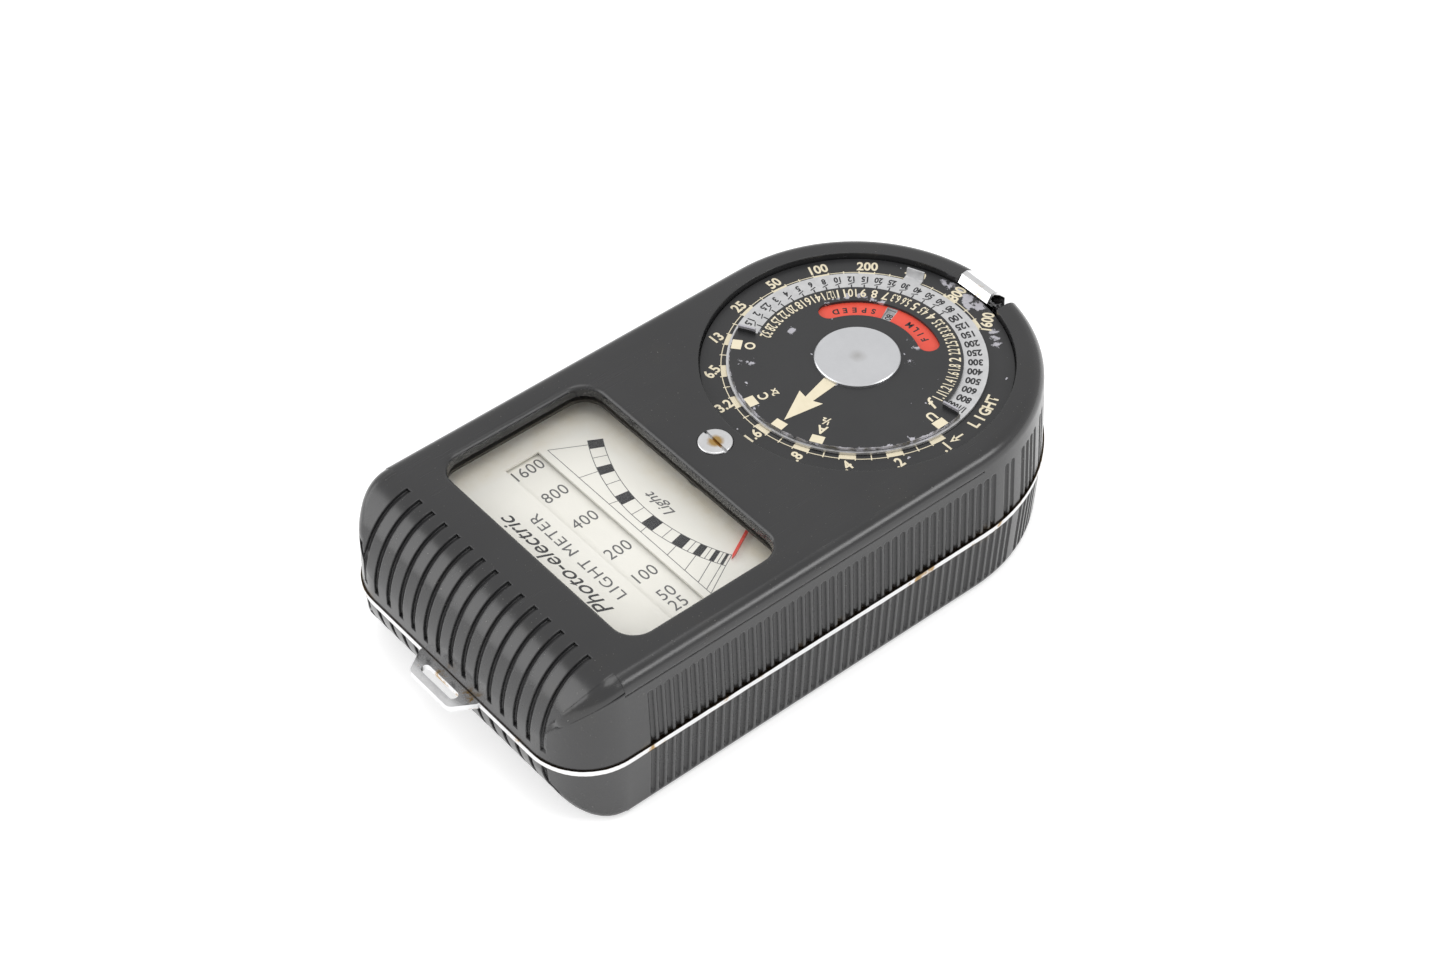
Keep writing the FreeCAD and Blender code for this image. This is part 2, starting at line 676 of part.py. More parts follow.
def range_plate():
    """Sliding numeral plate with two rows of numerals and a finger for its lever."""
    low = s.scale_top.value - s.scale_thick.value - 0.8
    row = s.slot_near.value - s.slot_far.value
    plate = Part.makeBox(47.4, 2 * row + 0.8, 0.3, vec(-23.7, -s.slot_near.value - row - 0.4, low))
    finger = Part.makeBox(3.6, 8.2, 0.3, vec(21.4, -s.slot_far.value - 1.5, low))
    tab = Part.makeBox(3.2, 2.3, 1.2, vec(23.8, -s.slot_far.value + 4.4, low - 0.9))
    slot = Part.makeBox(1.6, 1.0, 3, vec(25.1, -s.slot_far.value + 5.2, low - 2))
    return plate.fuse([finger, tab]).removeSplitter().cut(slot)


feature("window_glass", window_glass())
feature("window_gasket", window_gasket())
feature("scale_plate", scale_plate())
feature("range_plate", range_plate())

guide_low = s.scale_top - s.scale_thick - 1.6
guide_length = s.slot_near - s.slot_far + 16.0
part("range_guides", join([
    cut(box(1.6, guide_length, 1.6, -24.9, -s.slot_near - 7.6, guide_low),
        box(1.6, guide_length, 0.5, -24.1, -s.slot_near - 7.6, guide_low + 0.7)),
    cut(box(1.0, guide_length - 10.4, 1.6, 23.3, -s.slot_near - 7.6, guide_low),
        box(1.0, guide_length - 10.4, 0.5, 22.8, -s.slot_near - 7.6, guide_low + 0.7)),
]))

post_height = s.scale_top - s.scale_thick - chassis_top
part("scale_posts", join([cylinder(1.4, post_height, x, y, chassis_top) for x, y in post_sites()]))

screw_head = s.scale_top
plate_screws = []
for site_x, site_y in post_sites():
    plate_screws.append(cylinder(1.3, 0.6, site_x, site_y, screw_head))
    plate_screws.append(cylinder(0.7, s.scale_thick, site_x, site_y, s.scale_top - s.scale_thick))
part("scale_screws", join(plate_screws))


# ---------------------------------------------------------------- chassis and movement

def chassis():
    """Flat plate between the cell and the movement, clamped by the case screws."""
    low, thick = s.chassis_low.value, s.chassis_thick.value
    plate = prism(case_outline(-s.shell_wall.value - s.draft_rear.value - 0.4, low), thick)
    plate = plate.common(rear_limit(-s.shell_wall.value - 0.5))
    tools = [Part.makeCylinder(1.3, 5, vec(x, y, low - 1)) for x, y in screw_sites()]
    tools.append(Part.makeCylinder(1.25, 5, vec(0, s.pivot_y.value, low - 1)))
    tools.append(Part.makeBox(1.8, 12.0, 5, vec(25.0, link_y.value - 6.0, low - 1)))
    return plate.cut(tools)


def magnet():
    ring = Part.makeCylinder(s.magnet_radius.value, s.magnet_thick.value)
    ring = ring.cut(Part.makeCylinder(s.pole_outer.value, s.magnet_thick.value))
    gap = Part.makeBox(12.0, 20, s.magnet_thick.value, vec(-6.0, -20, 0))
    return ring.cut(gap)


def pole_piece(middle):
    return sector(s.pole_radius.value, s.pole_outer.value - 0.02, middle - 54, middle + 54,
                  0, s.magnet_thick.value)


feature("chassis", chassis())
feature("magnet", magnet(), 0.0, s.pivot_y, s.magnet_low)
feature("left_pole_piece", pole_piece(180), 0.0, s.pivot_y, s.magnet_low)
feature("right_pole_piece", pole_piece(0), 0.0, s.pivot_y, s.magnet_low)

core_slot = box(2.8, 30.0, 1.6, -1.4, s.pivot_y - 15.0, s.magnet_low + 3.2)
core_bore = cylinder(0.7, s.magnet_thick, 0, s.pivot_y, s.magnet_low)
part("core", cut(cylinder(s.core_radius, s.magnet_thick, 0, s.pivot_y, s.magnet_low), join([core_slot, core_bore])))
support_length = s.pole_outer - 0.02
part("core_support", cut(
    box(2.7, support_length * 2 - 4.1, 1.5, -1.35, s.pivot_y - support_length + 4.0, s.magnet_low + 3.25),
    cylinder(0.7, 4.0, 0, s.pivot_y, s.magnet_low + 2.0)))
part("magnet_spacers", join([
    box(6.0, 8.0, s.magnet_low - chassis_top, 10.0, s.pivot_y - 4.0, chassis_top),
    box(6.0, 8.0, s.magnet_low - chassis_top, -16.0, s.pivot_y - 4.0, chassis_top),
]))

# Moving system: a wire frame round the core, with an arbor stub above and below it.
coil_radius = (s.core_radius + s.pole_radius) / 2 + 0.45
coil_low = s.magnet_low - 1.0
coil_height = s.magnet_thick + 2.0


def moving_coil():
    reach, height = coil_radius.value, coil_height.value
    frame = Part.makeBox(2 * reach, 2.6, height, vec(-reach, -1.3, 0))
    frame = frame.cut(Part.makeBox(2 * reach - 1.9, 4, height - 1.4, vec(-reach + 0.95, -2, 0.7)))
    frame.rotate(vec(0, 0, 0), Z_AXIS, s.needle_rest.value)
    return frame


def spiral_spring(height, first, last, turns):
    """A flat hairspring: a strip wound from the first to the last radius."""
    steps = int(turns * 24)
    inner_edge, outer_edge = [], []
    half = 0.06
    for step in range(steps + 1):
        angle = 2 * math.pi * turns * step / steps
        radius = first + (last - first) * step / steps
        inner_edge.append(vec((radius - half) * math.cos(angle), (radius - half) * math.sin(angle), 0))
        outer_edge.append(vec((radius + half) * math.cos(angle), (radius + half) * math.sin(angle), 0))
    near, far = Part.BSplineCurve(), Part.BSplineCurve()
    near.interpolate(inner_edge)
    far.interpolate(outer_edge)
    loop = [
        near.toShape(),
        Part.LineSegment(inner_edge[-1], outer_edge[-1]).toShape(),
        far.toShape(),
        Part.LineSegment(outer_edge[0], inner_edge[0]).toShape(),
    ]
    return Part.Face(Part.Wire(Part.__sortEdges__(loop))).extrude(vec(0, 0, height))


def needle():
    """Cranked pointer with a boss on the arbor, two balance arms and a thin tip."""
    tip = s.needle_length.value
    boss_low = coil_low.value + coil_height.value
    arm_low = s.scale_top.value + 0.4
    boss = Part.makeCylinder(1.1, arm_low + 0.4 - boss_low, vec(0, 0, boss_low))
    blade = Part.makePolygon([vec(-0.45, 0, arm_low), vec(-0.22, -tip + 1, arm_low), vec(0, -tip, arm_low),
                              vec(0.22, -tip + 1, arm_low), vec(0.45, 0, arm_low), vec(-0.45, 0, arm_low)])
    arm = Part.Face(blade).extrude(vec(0, 0, 0.3))
    balance = Part.makeBox(9.0, 0.7, 0.3, vec(-4.5, -0.35, arm_low))
    tail = Part.makeBox(0.7, 4.5, 0.3, vec(-0.35, 0, arm_low))
    shape = boss.fuse([arm, balance, tail]).removeSplitter()
    shape = shape.cut(Part.makeCylinder(0.4, 6, vec(0, 0, boss_low - 1)))
    shape.rotate(vec(0, 0, 0), Z_AXIS, s.needle_rest.value)
    return shape


feature("moving_coil", moving_coil(), 0.0, s.pivot_y, coil_low)
feature("needle", needle(), 0.0, s.pivot_y)
needle_low = s.scale_top + 0.4
weights = []
for turn_degrees, reach in ((0.0, 3.6), (90.0, 3.7), (180.0, 3.6)):
    spot = math.radians(turn_degrees + s.needle_rest.value)
    weights.append(cylinder(0.55, 0.25, reach * math.cos(spot), s.pivot_y + reach * math.sin(spot), needle_low + 0.3))
part("balance_weights", join(weights))

upper_arbor_low = coil_low + coil_height
part("coil_pivots", join([
    cylinder(0.4, needle_low + 0.3 - upper_arbor_low, 0, s.pivot_y, upper_arbor_low),
    cone(0.4, 0.12, 0.7, 0, s.pivot_y, needle_low + 0.3),
    cylinder(0.9, 0.5, 0, s.pivot_y, coil_low - 0.5),
    cone(0.12, 0.4, 0.6, 0, s.pivot_y, coil_low - 1.1),
]))
feature("upper_hairspring", spiral_spring(0.3, 1.16, 4.2, 4), 0.0, s.pivot_y, upper_arbor_low + 0.5)
feature("lower_hairspring", spiral_spring(0.3, 0.96, 4.2, 4), 0.0, s.pivot_y, coil_low - 0.45)

jewel_low = needle_low + 0.45
upper_jewel = cut(cylinder(1.1, 1.9, 0, s.pivot_y, jewel_low), cone(0.42, 0.16, 0.65, 0, s.pivot_y, jewel_low))
part("upper_jewel_screw", cut(upper_jewel, box(3.0, 0.35, 0.5, -1.5, s.pivot_y - 0.175, jewel_low + 1.5)))
lower_jewel_top = coil_low - 0.65
lower_jewel = cylinder(1.2, lower_jewel_top - s.chassis_low, 0, s.pivot_y, s.chassis_low)
part("lower_jewel_screw", cut(lower_jewel, cone(0.14, 0.41, 0.6, 0, s.pivot_y, lower_jewel_top - 0.6)))

bridge_low = needle_low + 1.25
bridge_bar = cut(box(32.0, 5.0, 0.8, -16.0, s.pivot_y - 2.5, bridge_low), cylinder(1.1, 4.0, 0, s.pivot_y, bridge_low - 1.0))
part("upper_bridge", join([
    bridge_bar,
    cylinder(1.3, bridge_low - magnet_top, 14.2, s.pivot_y, magnet_top),
    cylinder(1.3, bridge_low - magnet_top, -14.2, s.pivot_y, magnet_top),
]))
part("spring_studs", join([
    box(0.4, 1.2, bridge_low - upper_arbor_low - 0.5, 4.65, s.pivot_y - 0.6, upper_arbor_low + 0.5),
    box(0.45, 0.4, 0.3, 4.27, s.pivot_y - 0.2, upper_arbor_low + 0.5),
    box(0.5, 1.2, coil_low - 0.15 - chassis_top, 4.27, s.pivot_y - 0.6, chassis_top),
]))


# ---------------------------------------------------------------- zero setting

def zero_arm():
    """Thin lever round the upper jewel, forked at the zero screw's pin."""
    low = needle_low.value + 0.65
    reach = s.pivot_y.value - s.zero_y.value - s.zero_throw.value
    arm = Part.makeBox(1.4, reach + 1.4, 0.35, vec(-0.7, -reach - 1.4, low))
    fork = Part.makeBox(3.4, 3.0, 0.35, vec(-1.7, -reach - 1.4, low))
    eye = Part.makeCylinder(2.2, 0.35, vec(0, 0, low))
    tail = Part.makeBox(1.0, 5.0, 0.35, vec(-0.5, 0, low))
    shape = arm.fuse([fork, eye, tail]).removeSplitter()
    shape = shape.cut([Part.makeCylinder(1.15, 2, vec(0, 0, low - 1)),
                       Part.makeBox(1.3, 3.4, 2, vec(-0.65, -reach - 2.0, low - 1))])
    return shape


def zero_screw():
    """Slotted head flush in the face, a shank through it and an eccentric pin."""
    y, top = s.zero_y.value, face.value
    head = Part.makeCylinder(s.zero_radius.value, 1.1, vec(0, y, top - 0.85))
    crown = [e for e in head.Edges if e.BoundBox.ZMin > top + 0.2 and e.Curve.TypeId == "Part::GeomCircle"]
    head = head.makeFillet(0.25, crown)
    shank = Part.makeCylinder(1.55, top - 0.85 - 26.2, vec(0, y, 26.2))
    pin = Part.makeCylinder(0.5, 1.5, vec(0, y + s.zero_throw.value, 24.9))
    slot = Part.makeBox(8, 0.55, 0.7, vec(-4, y - 0.275, top - 0.35))
    slot.rotate(vec(0, y, 0), Z_AXIS, -3.0)
    return head.fuse([shank, pin]).removeSplitter().cut(slot)


feature("zero_arm", zero_arm(), 0.0, s.pivot_y)
feature("zero_screw", zero_screw())
part("zero_clip", tube(2.7, 1.55, 0.5, 0.0, s.zero_y, recess_bottom - s.recess_floor - 0.6))


# ---------------------------------------------------------------- dial stack

def light_ring():
    low = recess_bottom.value
    disc = Part.makeCylinder(s.ring_radius.value, s.ring_thick.value, vec(0, 0, low))
    teeth = []
    for number in range(54):
        angle = 2 * math.pi * (number + 0.5) / 54
        teeth.append(Part.makeCylinder(0.3, 0.4, vec(25.75 * math.cos(angle), 25.75 * math.sin(angle), low - 0.05)))
    bore = Part.makeCylinder(s.spindle_radius.value + s.fit_gap.value, 2, vec(0, 0, low - 1))
    return disc.cut(teeth + [bore])


def speed_disc():
    """Bright disc with a film-speed opening and a turned-up finger tab."""
    low, thick, edge = speed_low.value, s.disc_thick.value, s.speed_radius.value
    disc = Part.makeCylinder(edge, thick, vec(0, 0, low))
    tab = Part.makeBox(1.7, 3.1, thick, vec(edge - 0.5, -1.55, low))
    finger = Part.makeBox(0.4, 3.1, 1.9, vec(edge + 0.9, -1.55, low))
    finger.rotate(vec(edge + 0.9, 0, low), Y_AXIS, 18)
    opening = Part.makeBox(3.4, 1.7, 2, vec(s.slot_radius.value - 1.7, -0.85, low - 1))
    disc = disc.fuse([tab, finger]).removeSplitter().cut(opening)
    bore = Part.makeCylinder(s.spindle_radius.value + s.fit_gap.value, 2, vec(0, 0, low - 1))
    disc = disc.cut(bore)
    disc.rotate(vec(0, 0, 0), Z_AXIS, 113.5)
    return disc


def exposure_dial():
    """Black dial with a cut-away rim, two turned-up ears and a curved slot."""
    low, thick, edge = exposure_low.value, s.disc_thick.value, s.exposure_radius.value
    disc = Part.makeCylinder(edge, thick, vec(0, 0, low))
    disc = disc.cut(sector(s.cut_inner.value, edge + 1, 10.5, 209.5, low - 1, low + thick + 1))
    for degrees in (10.5, 209.5):
        side = -0.35 if degrees < 90 else 0.0
        ear = Part.makeBox(3.0, 0.35, 1.1 + thick, vec(s.cut_inner.value + 0.3, side, low))
        ear.rotate(vec(0, 0, 0), Z_AXIS, degrees)
        disc = disc.fuse(ear)
    middle, half = s.slot_radius.value, s.slot_half.value
    start, end = 66.0, 161.0
    slot = sector(middle - half, middle + half, start, end, low - 1, low + thick + 1)
    tools = [slot]
    for degrees in (start, end):
        angle = math.radians(degrees)
        tools.append(Part.makeCylinder(half, thick + 2, vec(middle * math.cos(angle), middle * math.sin(angle), low - 1)))
    tools.append(Part.makeCylinder(s.spindle_radius.value, 4, vec(0, 0, low - 1)))
    return disc.removeSplitter().cut(tools)


feature("light_ring", light_ring(), 0.0, s.dial_y)
feature("speed_disc", speed_disc(), 0.0, s.dial_y)
feature("exposure_dial", exposure_dial(), 0.0, s.dial_y)
turned_body("hub_cap", [
    (0.0, 0.0), (s.hub_radius, 0.0), (s.hub_radius, s.hub_height - 0.15),
    (s.hub_radius - 0.15, s.hub_height), (0.0, s.hub_height)], 0.0, s.dial_y, hub_low)
spindle_low = recess_bottom - s.recess_floor - 1.9
spindle_height = hub_low - spindle_low
turned_body("dial_spindle", [
    (0.0, 0.0), (s.spindle_radius, 0.0), (s.spindle_radius, 0.5), (s.spindle_radius - 0.6, 0.5),
    (s.spindle_radius - 0.6, 1.1), (s.spindle_radius, 1.1), (s.spindle_radius, spindle_height),
    (0.0, spindle_height)], 0.0, s.dial_y, spindle_low)
part("retaining_clip", tube(4.2, s.spindle_radius - 0.6, 0.5, 0.0, s.dial_y, spindle_low + 0.55))
part("spring_washer", tube(4.6, s.spindle_radius + 0.15, 0.75, 0.0, s.dial_y, spindle_low + 1.1))


# ---------------------------------------------------------------- dial latch

def dial_latch():
    """Bent plated strip that hooks over the rim and holds the light ring's edge."""
    centre, top = s.dial_y.value, face.value
    outer = [(25.45, top - 0.7), (26.3, top + 0.75), (27.3, top + 0.9), (28.7, top + 0.1),
             (30.15, top - 1.5), (30.25, top - 4.1)]
    inner = [(29.65, top - 4.1), (29.6, top - 1.75), (28.35, top - 0.45), (27.2, top + 0.3),
             (26.6, top + 0.2), (25.8, top - 1.1)]
    section = [(centre + y, z) for y, z in outer + inner]
    strip = extrude_x(section, s.latch_width.value / 2)
    inset = s.latch_width.value / 2 - 0.5
    guide = Part.makeBox(2 * inset, 2.6, 1.0, vec(-inset, centre + 27.4, top - 4.1))
    return strip.fuse(guide).removeSplitter()


feature("dial_latch", dial_latch())
part("latch_spring", tube(0.45, 0.3, s.latch_travel + 0.7, 0.0, 0.0, 0.0))
place(parts["latch_spring"], s.latch_width / 2 - 0.45, s.dial_y + 28.5, face - 3.6, Y_AXIS, 90.0)


# ---------------------------------------------------------------- photocell

lens_thick = Size.of(1.2)


def lens_glass():
    """Cell window moulded with a field of small lenses on its outer side."""
    low = cell_floor.value
    disc = Part.makeCylinder(s.cell_radius.value + 0.3, lens_thick.value, vec(0, s.dial_y.value, low))
    domes = []
    pitch = 3.9
    for row in range(-5, 6):
        for column in range(-5, 6):
            x = (column + 0.5 * (row % 2)) * pitch
            y = row * pitch * math.sqrt(0.75)
            if math.hypot(x, y) < s.cell_opening.value - 2.2:
                domes.append(Part.makeSphere(3.2, vec(x, s.dial_y.value + y, low + 2.5)))
    lenses = domes[0].fuse(domes[1:]).common(
        Part.makeCylinder(s.cell_opening.value - 0.3, 1.0, vec(0, s.dial_y.value, low - 0.7)))
    return disc.fuse(lenses)


feature("lens_glass", lens_glass())
stack = cell_floor + lens_thick
part("front_contact_ring", tube(s.cell_radius + 0.2, s.cell_radius - 2.2, 0.2, 0.0, s.dial_y, stack))
part("photocell", cylinder(s.cell_radius, 1.0, 0.0, s.dial_y, stack + 0.2))
part("rear_contact", join([
    tube(8.0, 6.6, 0.25, 0.0, s.dial_y, stack + 1.2),
    box(16.0, 2.0, 0.25, -8.0, s.dial_y - 1.0, stack + 1.2),
]))
part("cell_insulator", cylinder(s.cell_radius, s.chassis_low - stack - 1.45, 0.0, s.dial_y, stack + 1.45))
part("cell_retainer", tube(
    s.cell_radius + 2.6, s.cell_radius + 0.4, s.chassis_low - cell_floor, 0.0, s.dial_y, cell_floor))
part("resistor_spool", join([
    cylinder(2.6, 0.6, -20.5, -24.0, chassis_top),
    cylinder(1.9, 5.2, -20.5, -24.0, chassis_top + 0.6),
    cylinder(2.6, 0.6, -20.5, -24.0, chassis_top + 5.8),
]))


# ---------------------------------------------------------------- baffle door

def hole_grid():
    """Light holes of the baffle in a close-packed pattern inside one circle."""
    pitch = 3.9
    sites = []
    for row in range(-5, 6):
        for column in range(-5, 6):
            x = (column + 0.5 * (row % 2)) * pitch
            y = row * pitch * math.sqrt(0.75)
            if math.hypot(x, y) < s.cell_opening.value - 2.6:
                sites.append((x, y))
    return sites


def baffle_door():
    low, thick = s.door_low.value, s.door_thick.value
    centre, hinge = s.dial_y.value, s.hinge_y.value
    disc = Part.makeCylinder(s.door_radius.value, thick, vec(0, centre, low))
    edge = [e for e in disc.Edges if e.BoundBox.ZMax < low + 0.01]
    disc = disc.makeFillet(0.5, edge)
    leaf = Part.makeBox(12.0, 5.0, 1.1, vec(-6.0, hinge, low))
    knuckle = Part.makeCylinder(s.knuckle_radius.value, 11.0, vec(-5.5, hinge, s.hinge_z.value), X_AXIS)
    tab = Part.makeBox(8.0, 2.9, thick, vec(-4.0, centre + s.door_radius.value - 1.2, low))
    door = disc.fuse([leaf, knuckle, tab]).removeSplitter()
    tools = [Part.makeCylinder(1.05, thick + 2, vec(x, centre + y, low - 1)) for x, y in hole_grid()]
    tools.append(Part.makeCylinder(s.pin_radius.value + s.fit_gap.value, 20,
                                   vec(-10, hinge, s.hinge_z.value), X_AXIS))
    corner = Part.makeBox(0.6, 5.0, 3.0, vec(5.5, hinge - 1.3, 0))
    tools.append(corner)
    tools.append(corner.mirror(vec(0, 0, 0), X_AXIS))
    return door.cut(tools)


def hinge_bracket():
    """Two fixed knuckles that stand in the trough either side of the door's own."""
    hinge, axis_z = s.hinge_y.value, s.hinge_z.value
    pieces = []
    for start in (-10.2, 5.9):
        knuckle = Part.makeCylinder(s.knuckle_radius.value, 4.3, vec(start, hinge, axis_z), X_AXIS)
        foot = Part.makeBox(4.3, 0.8, 0.89, vec(start, hinge - 0.4, axis_z + 0.6))
        pieces.append(knuckle.fuse(foot).removeSplitter().cut(
            Part.makeCylinder(s.pin_radius.value, 21, vec(-10.5, hinge, axis_z), X_AXIS)))
    return Part.makeCompound(pieces)


feature("baffle_door", baffle_door())
feature("hinge_bracket", hinge_bracket())
part("hinge_pin", cross_cylinder(s.pin_radius, 20.6, -10.3, s.hinge_y, s.hinge_z))
catch_y = s.dial_y + s.door_radius + 1.8
part("door_catch", join([
    box(6.0, 0.35, 3.6, -3.0, catch_y + 0.6, 0.55),
    box(3.0, 0.6, 0.35, -1.5, catch_y, 0.55),
]))


# ---------------------------------------------------------------- range lever

def range_link():
    """Side lever that shifts the range plate as the door folds back."""
    reach = 9.9
    tilt = math.degrees(math.asin(s.range_shift.value / 2 / reach))
    arm = Part.makeBox(0.8, 1.8, reach + 7.5, vec(25.5, -0.9, -7.5))
    tip = Part.makeCylinder(0.42, 0.8, vec(25.5, 0, reach + 0.05), X_AXIS)
    eye = Part.makeCylinder(1.7, 0.8, vec(25.5, 0, 0), X_AXIS)
    far_trim = Part.makeBox(2, 0.9, 2.2, vec(25, 0.25, reach - 2.0))
    near_trim = Part.makeBox(2, 0.9, 2.2, vec(25, -1.15, reach - 2.0))
    shape = arm.cut([far_trim, near_trim]).fuse([tip, eye]).removeSplitter()
    shape = shape.cut(Part.makeCylinder(0.75, 4, vec(24, 0, 0), X_AXIS))
    shape.rotate(vec(0, 0, 0), X_AXIS, tilt)
    return shape


feature("range_link", range_link(), 0.0, link_y, link_z)
part("link_bracket", join([
    cross_cylinder(0.7, 2.7, 24.2, link_y, link_z),
    box(0.7, 3.0, link_z + 1.3 - chassis_top, 24.0, link_y - 1.5, chassis_top),
]))

# ---------------------------------------------------------------- case screws

screws = []
for site_x, site_y in screw_sites():
    screws.append(cone(2.4, 1.15, 1.15, site_x, site_y, s.panel_depth + 0.05))
    screws.append(cylinder(1.0, 17.5, site_x, site_y, s.panel_depth + 1.2))
all_screws = join(screws)
slots = join([box(6.0, 0.6, 1.2, site_x - 3.0, site_y - 0.3, s.panel_depth - 0.5) for site_x, site_y in screw_sites()])
part("case_screws", cut(all_screws, slots))

# ---------------------------------------------------------------- check and export

doc.recompute()
problems = []
for item in doc.Objects:
    if "Invalid" in item.State or "Error" in item.State:
        problems.append(item.Label + " " + str(item.State))
for name, item in parts.items():
    shape = item.Shape
    if shape.isNull() or not shape.isValid() or shape.Volume <= 0:
        problems.append(name + " has no valid shape")
if problems:
    raise RuntimeError("; ".join(problems))

os.makedirs("parts", exist_ok=True)
for name, item in parts.items():
    item.Shape.exportStep("parts/%s.step" % name)
    size_box = item.Shape.BoundBox
    print("%-20s %2d solid(s) %9.1f mm3  z %.2f..%.2f" % (
        name, len(item.Shape.Solids), item.Shape.Volume, size_box.ZMin, size_box.ZMax))
print(len(parts), "nodes")
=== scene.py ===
import json
import math
import bmesh
import bpy
from mathutils import Matrix, Vector


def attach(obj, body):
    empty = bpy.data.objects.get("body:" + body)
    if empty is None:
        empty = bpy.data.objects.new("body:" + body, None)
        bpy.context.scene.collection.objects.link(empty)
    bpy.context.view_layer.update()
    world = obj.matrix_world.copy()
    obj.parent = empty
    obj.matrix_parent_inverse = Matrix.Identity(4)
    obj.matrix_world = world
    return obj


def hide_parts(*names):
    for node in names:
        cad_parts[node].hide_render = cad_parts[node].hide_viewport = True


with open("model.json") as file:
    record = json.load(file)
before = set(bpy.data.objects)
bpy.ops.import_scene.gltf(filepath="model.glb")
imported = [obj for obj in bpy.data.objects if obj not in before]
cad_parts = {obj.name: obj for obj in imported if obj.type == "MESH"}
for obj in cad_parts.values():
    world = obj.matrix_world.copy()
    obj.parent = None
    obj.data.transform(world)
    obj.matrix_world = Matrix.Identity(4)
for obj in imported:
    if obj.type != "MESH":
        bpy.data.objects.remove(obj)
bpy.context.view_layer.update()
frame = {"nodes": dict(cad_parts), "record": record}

# ------------------------------------------------------------ camera
# A long lens on a stand, looking down at the meter from beyond its lug, on the
# side of the needle's zero. The frame is a little off the lens's axis.
MM = 0.001
CAMERA_DISTANCE = 536.7
CAMERA_AIM = (-0.09, 3.42, 16.54)
CAMERA_AZIMUTH, CAMERA_ELEVATION, CAMERA_ROLL = 50.494, 45.343, -0.655
camera_data = bpy.data.cameras.new("camera")
camera_data.lens = 82.48
camera_data.sensor_width = 36.0
camera_data.shift_x = -0.0125
camera_data.shift_y = 0.0039
camera_data.clip_start = 0.05
camera = bpy.data.objects.new("camera", camera_data)
bpy.context.scene.collection.objects.link(camera)
bpy.context.scene.camera = camera
swing, lift, roll = (math.radians(angle) for angle in (CAMERA_AZIMUTH, CAMERA_ELEVATION, CAMERA_ROLL))
back = Vector((math.sin(swing) * math.cos(lift), -math.cos(swing) * math.cos(lift), math.sin(lift)))
right = Vector((math.cos(swing), math.sin(swing), 0.0))
above = back.cross(right)
rolled_right = right * math.cos(roll) + above * math.sin(roll)
rolled_above = above * math.cos(roll) - right * math.sin(roll)
aim = Vector(CAMERA_AIM) * MM
camera.matrix_world = Matrix.Translation(aim + back * CAMERA_DISTANCE * MM) @ Matrix((
    (rolled_right.x, rolled_above.x, back.x, 0),
    (rolled_right.y, rolled_above.y, back.y, 0),
    (rolled_right.z, rolled_above.z, back.z, 0),
    (0, 0, 0, 1)))


# ------------------------------------------------------------ black moulded shells
# Two halves moulded in black phenolic, ribbed for grip and screwed together
# from the back. Handling has polished the edges and left fine scuffs and dust.
SEAM_Z = 13.4
SHELL_CREASE = 34.0
SHELL_EDGE_RADIUS = 0.35
MERGE_DISTANCE = 0.002 * MM


class Value:
    """A shader value. Arithmetic on it adds Math nodes."""

    def __init__(self, finish, socket):
        self.finish = finish
        self.socket = socket

    def combine(self, operation, *others):
        values = dict(enumerate((self,) + others))
        return self.finish.node("ShaderNodeMath", {"operation": operation}, values)

    def __add__(self, other):
        return self.combine("ADD", other)

    def __sub__(self, other):
        return self.combine("SUBTRACT", other)

    def __mul__(self, other):
        return self.combine("MULTIPLY", other)

    def __rsub__(self, other):
        return self.finish.node("ShaderNodeMath", {"operation": "SUBTRACT"}, {0: other, 1: self})

    __radd__ = __add__
    __rmul__ = __mul__

    def __abs__(self):
        return self.combine("ABSOLUTE")

    def or_more(self, other):
        """The larger of the two values."""
        return self.combine("MAXIMUM", other)


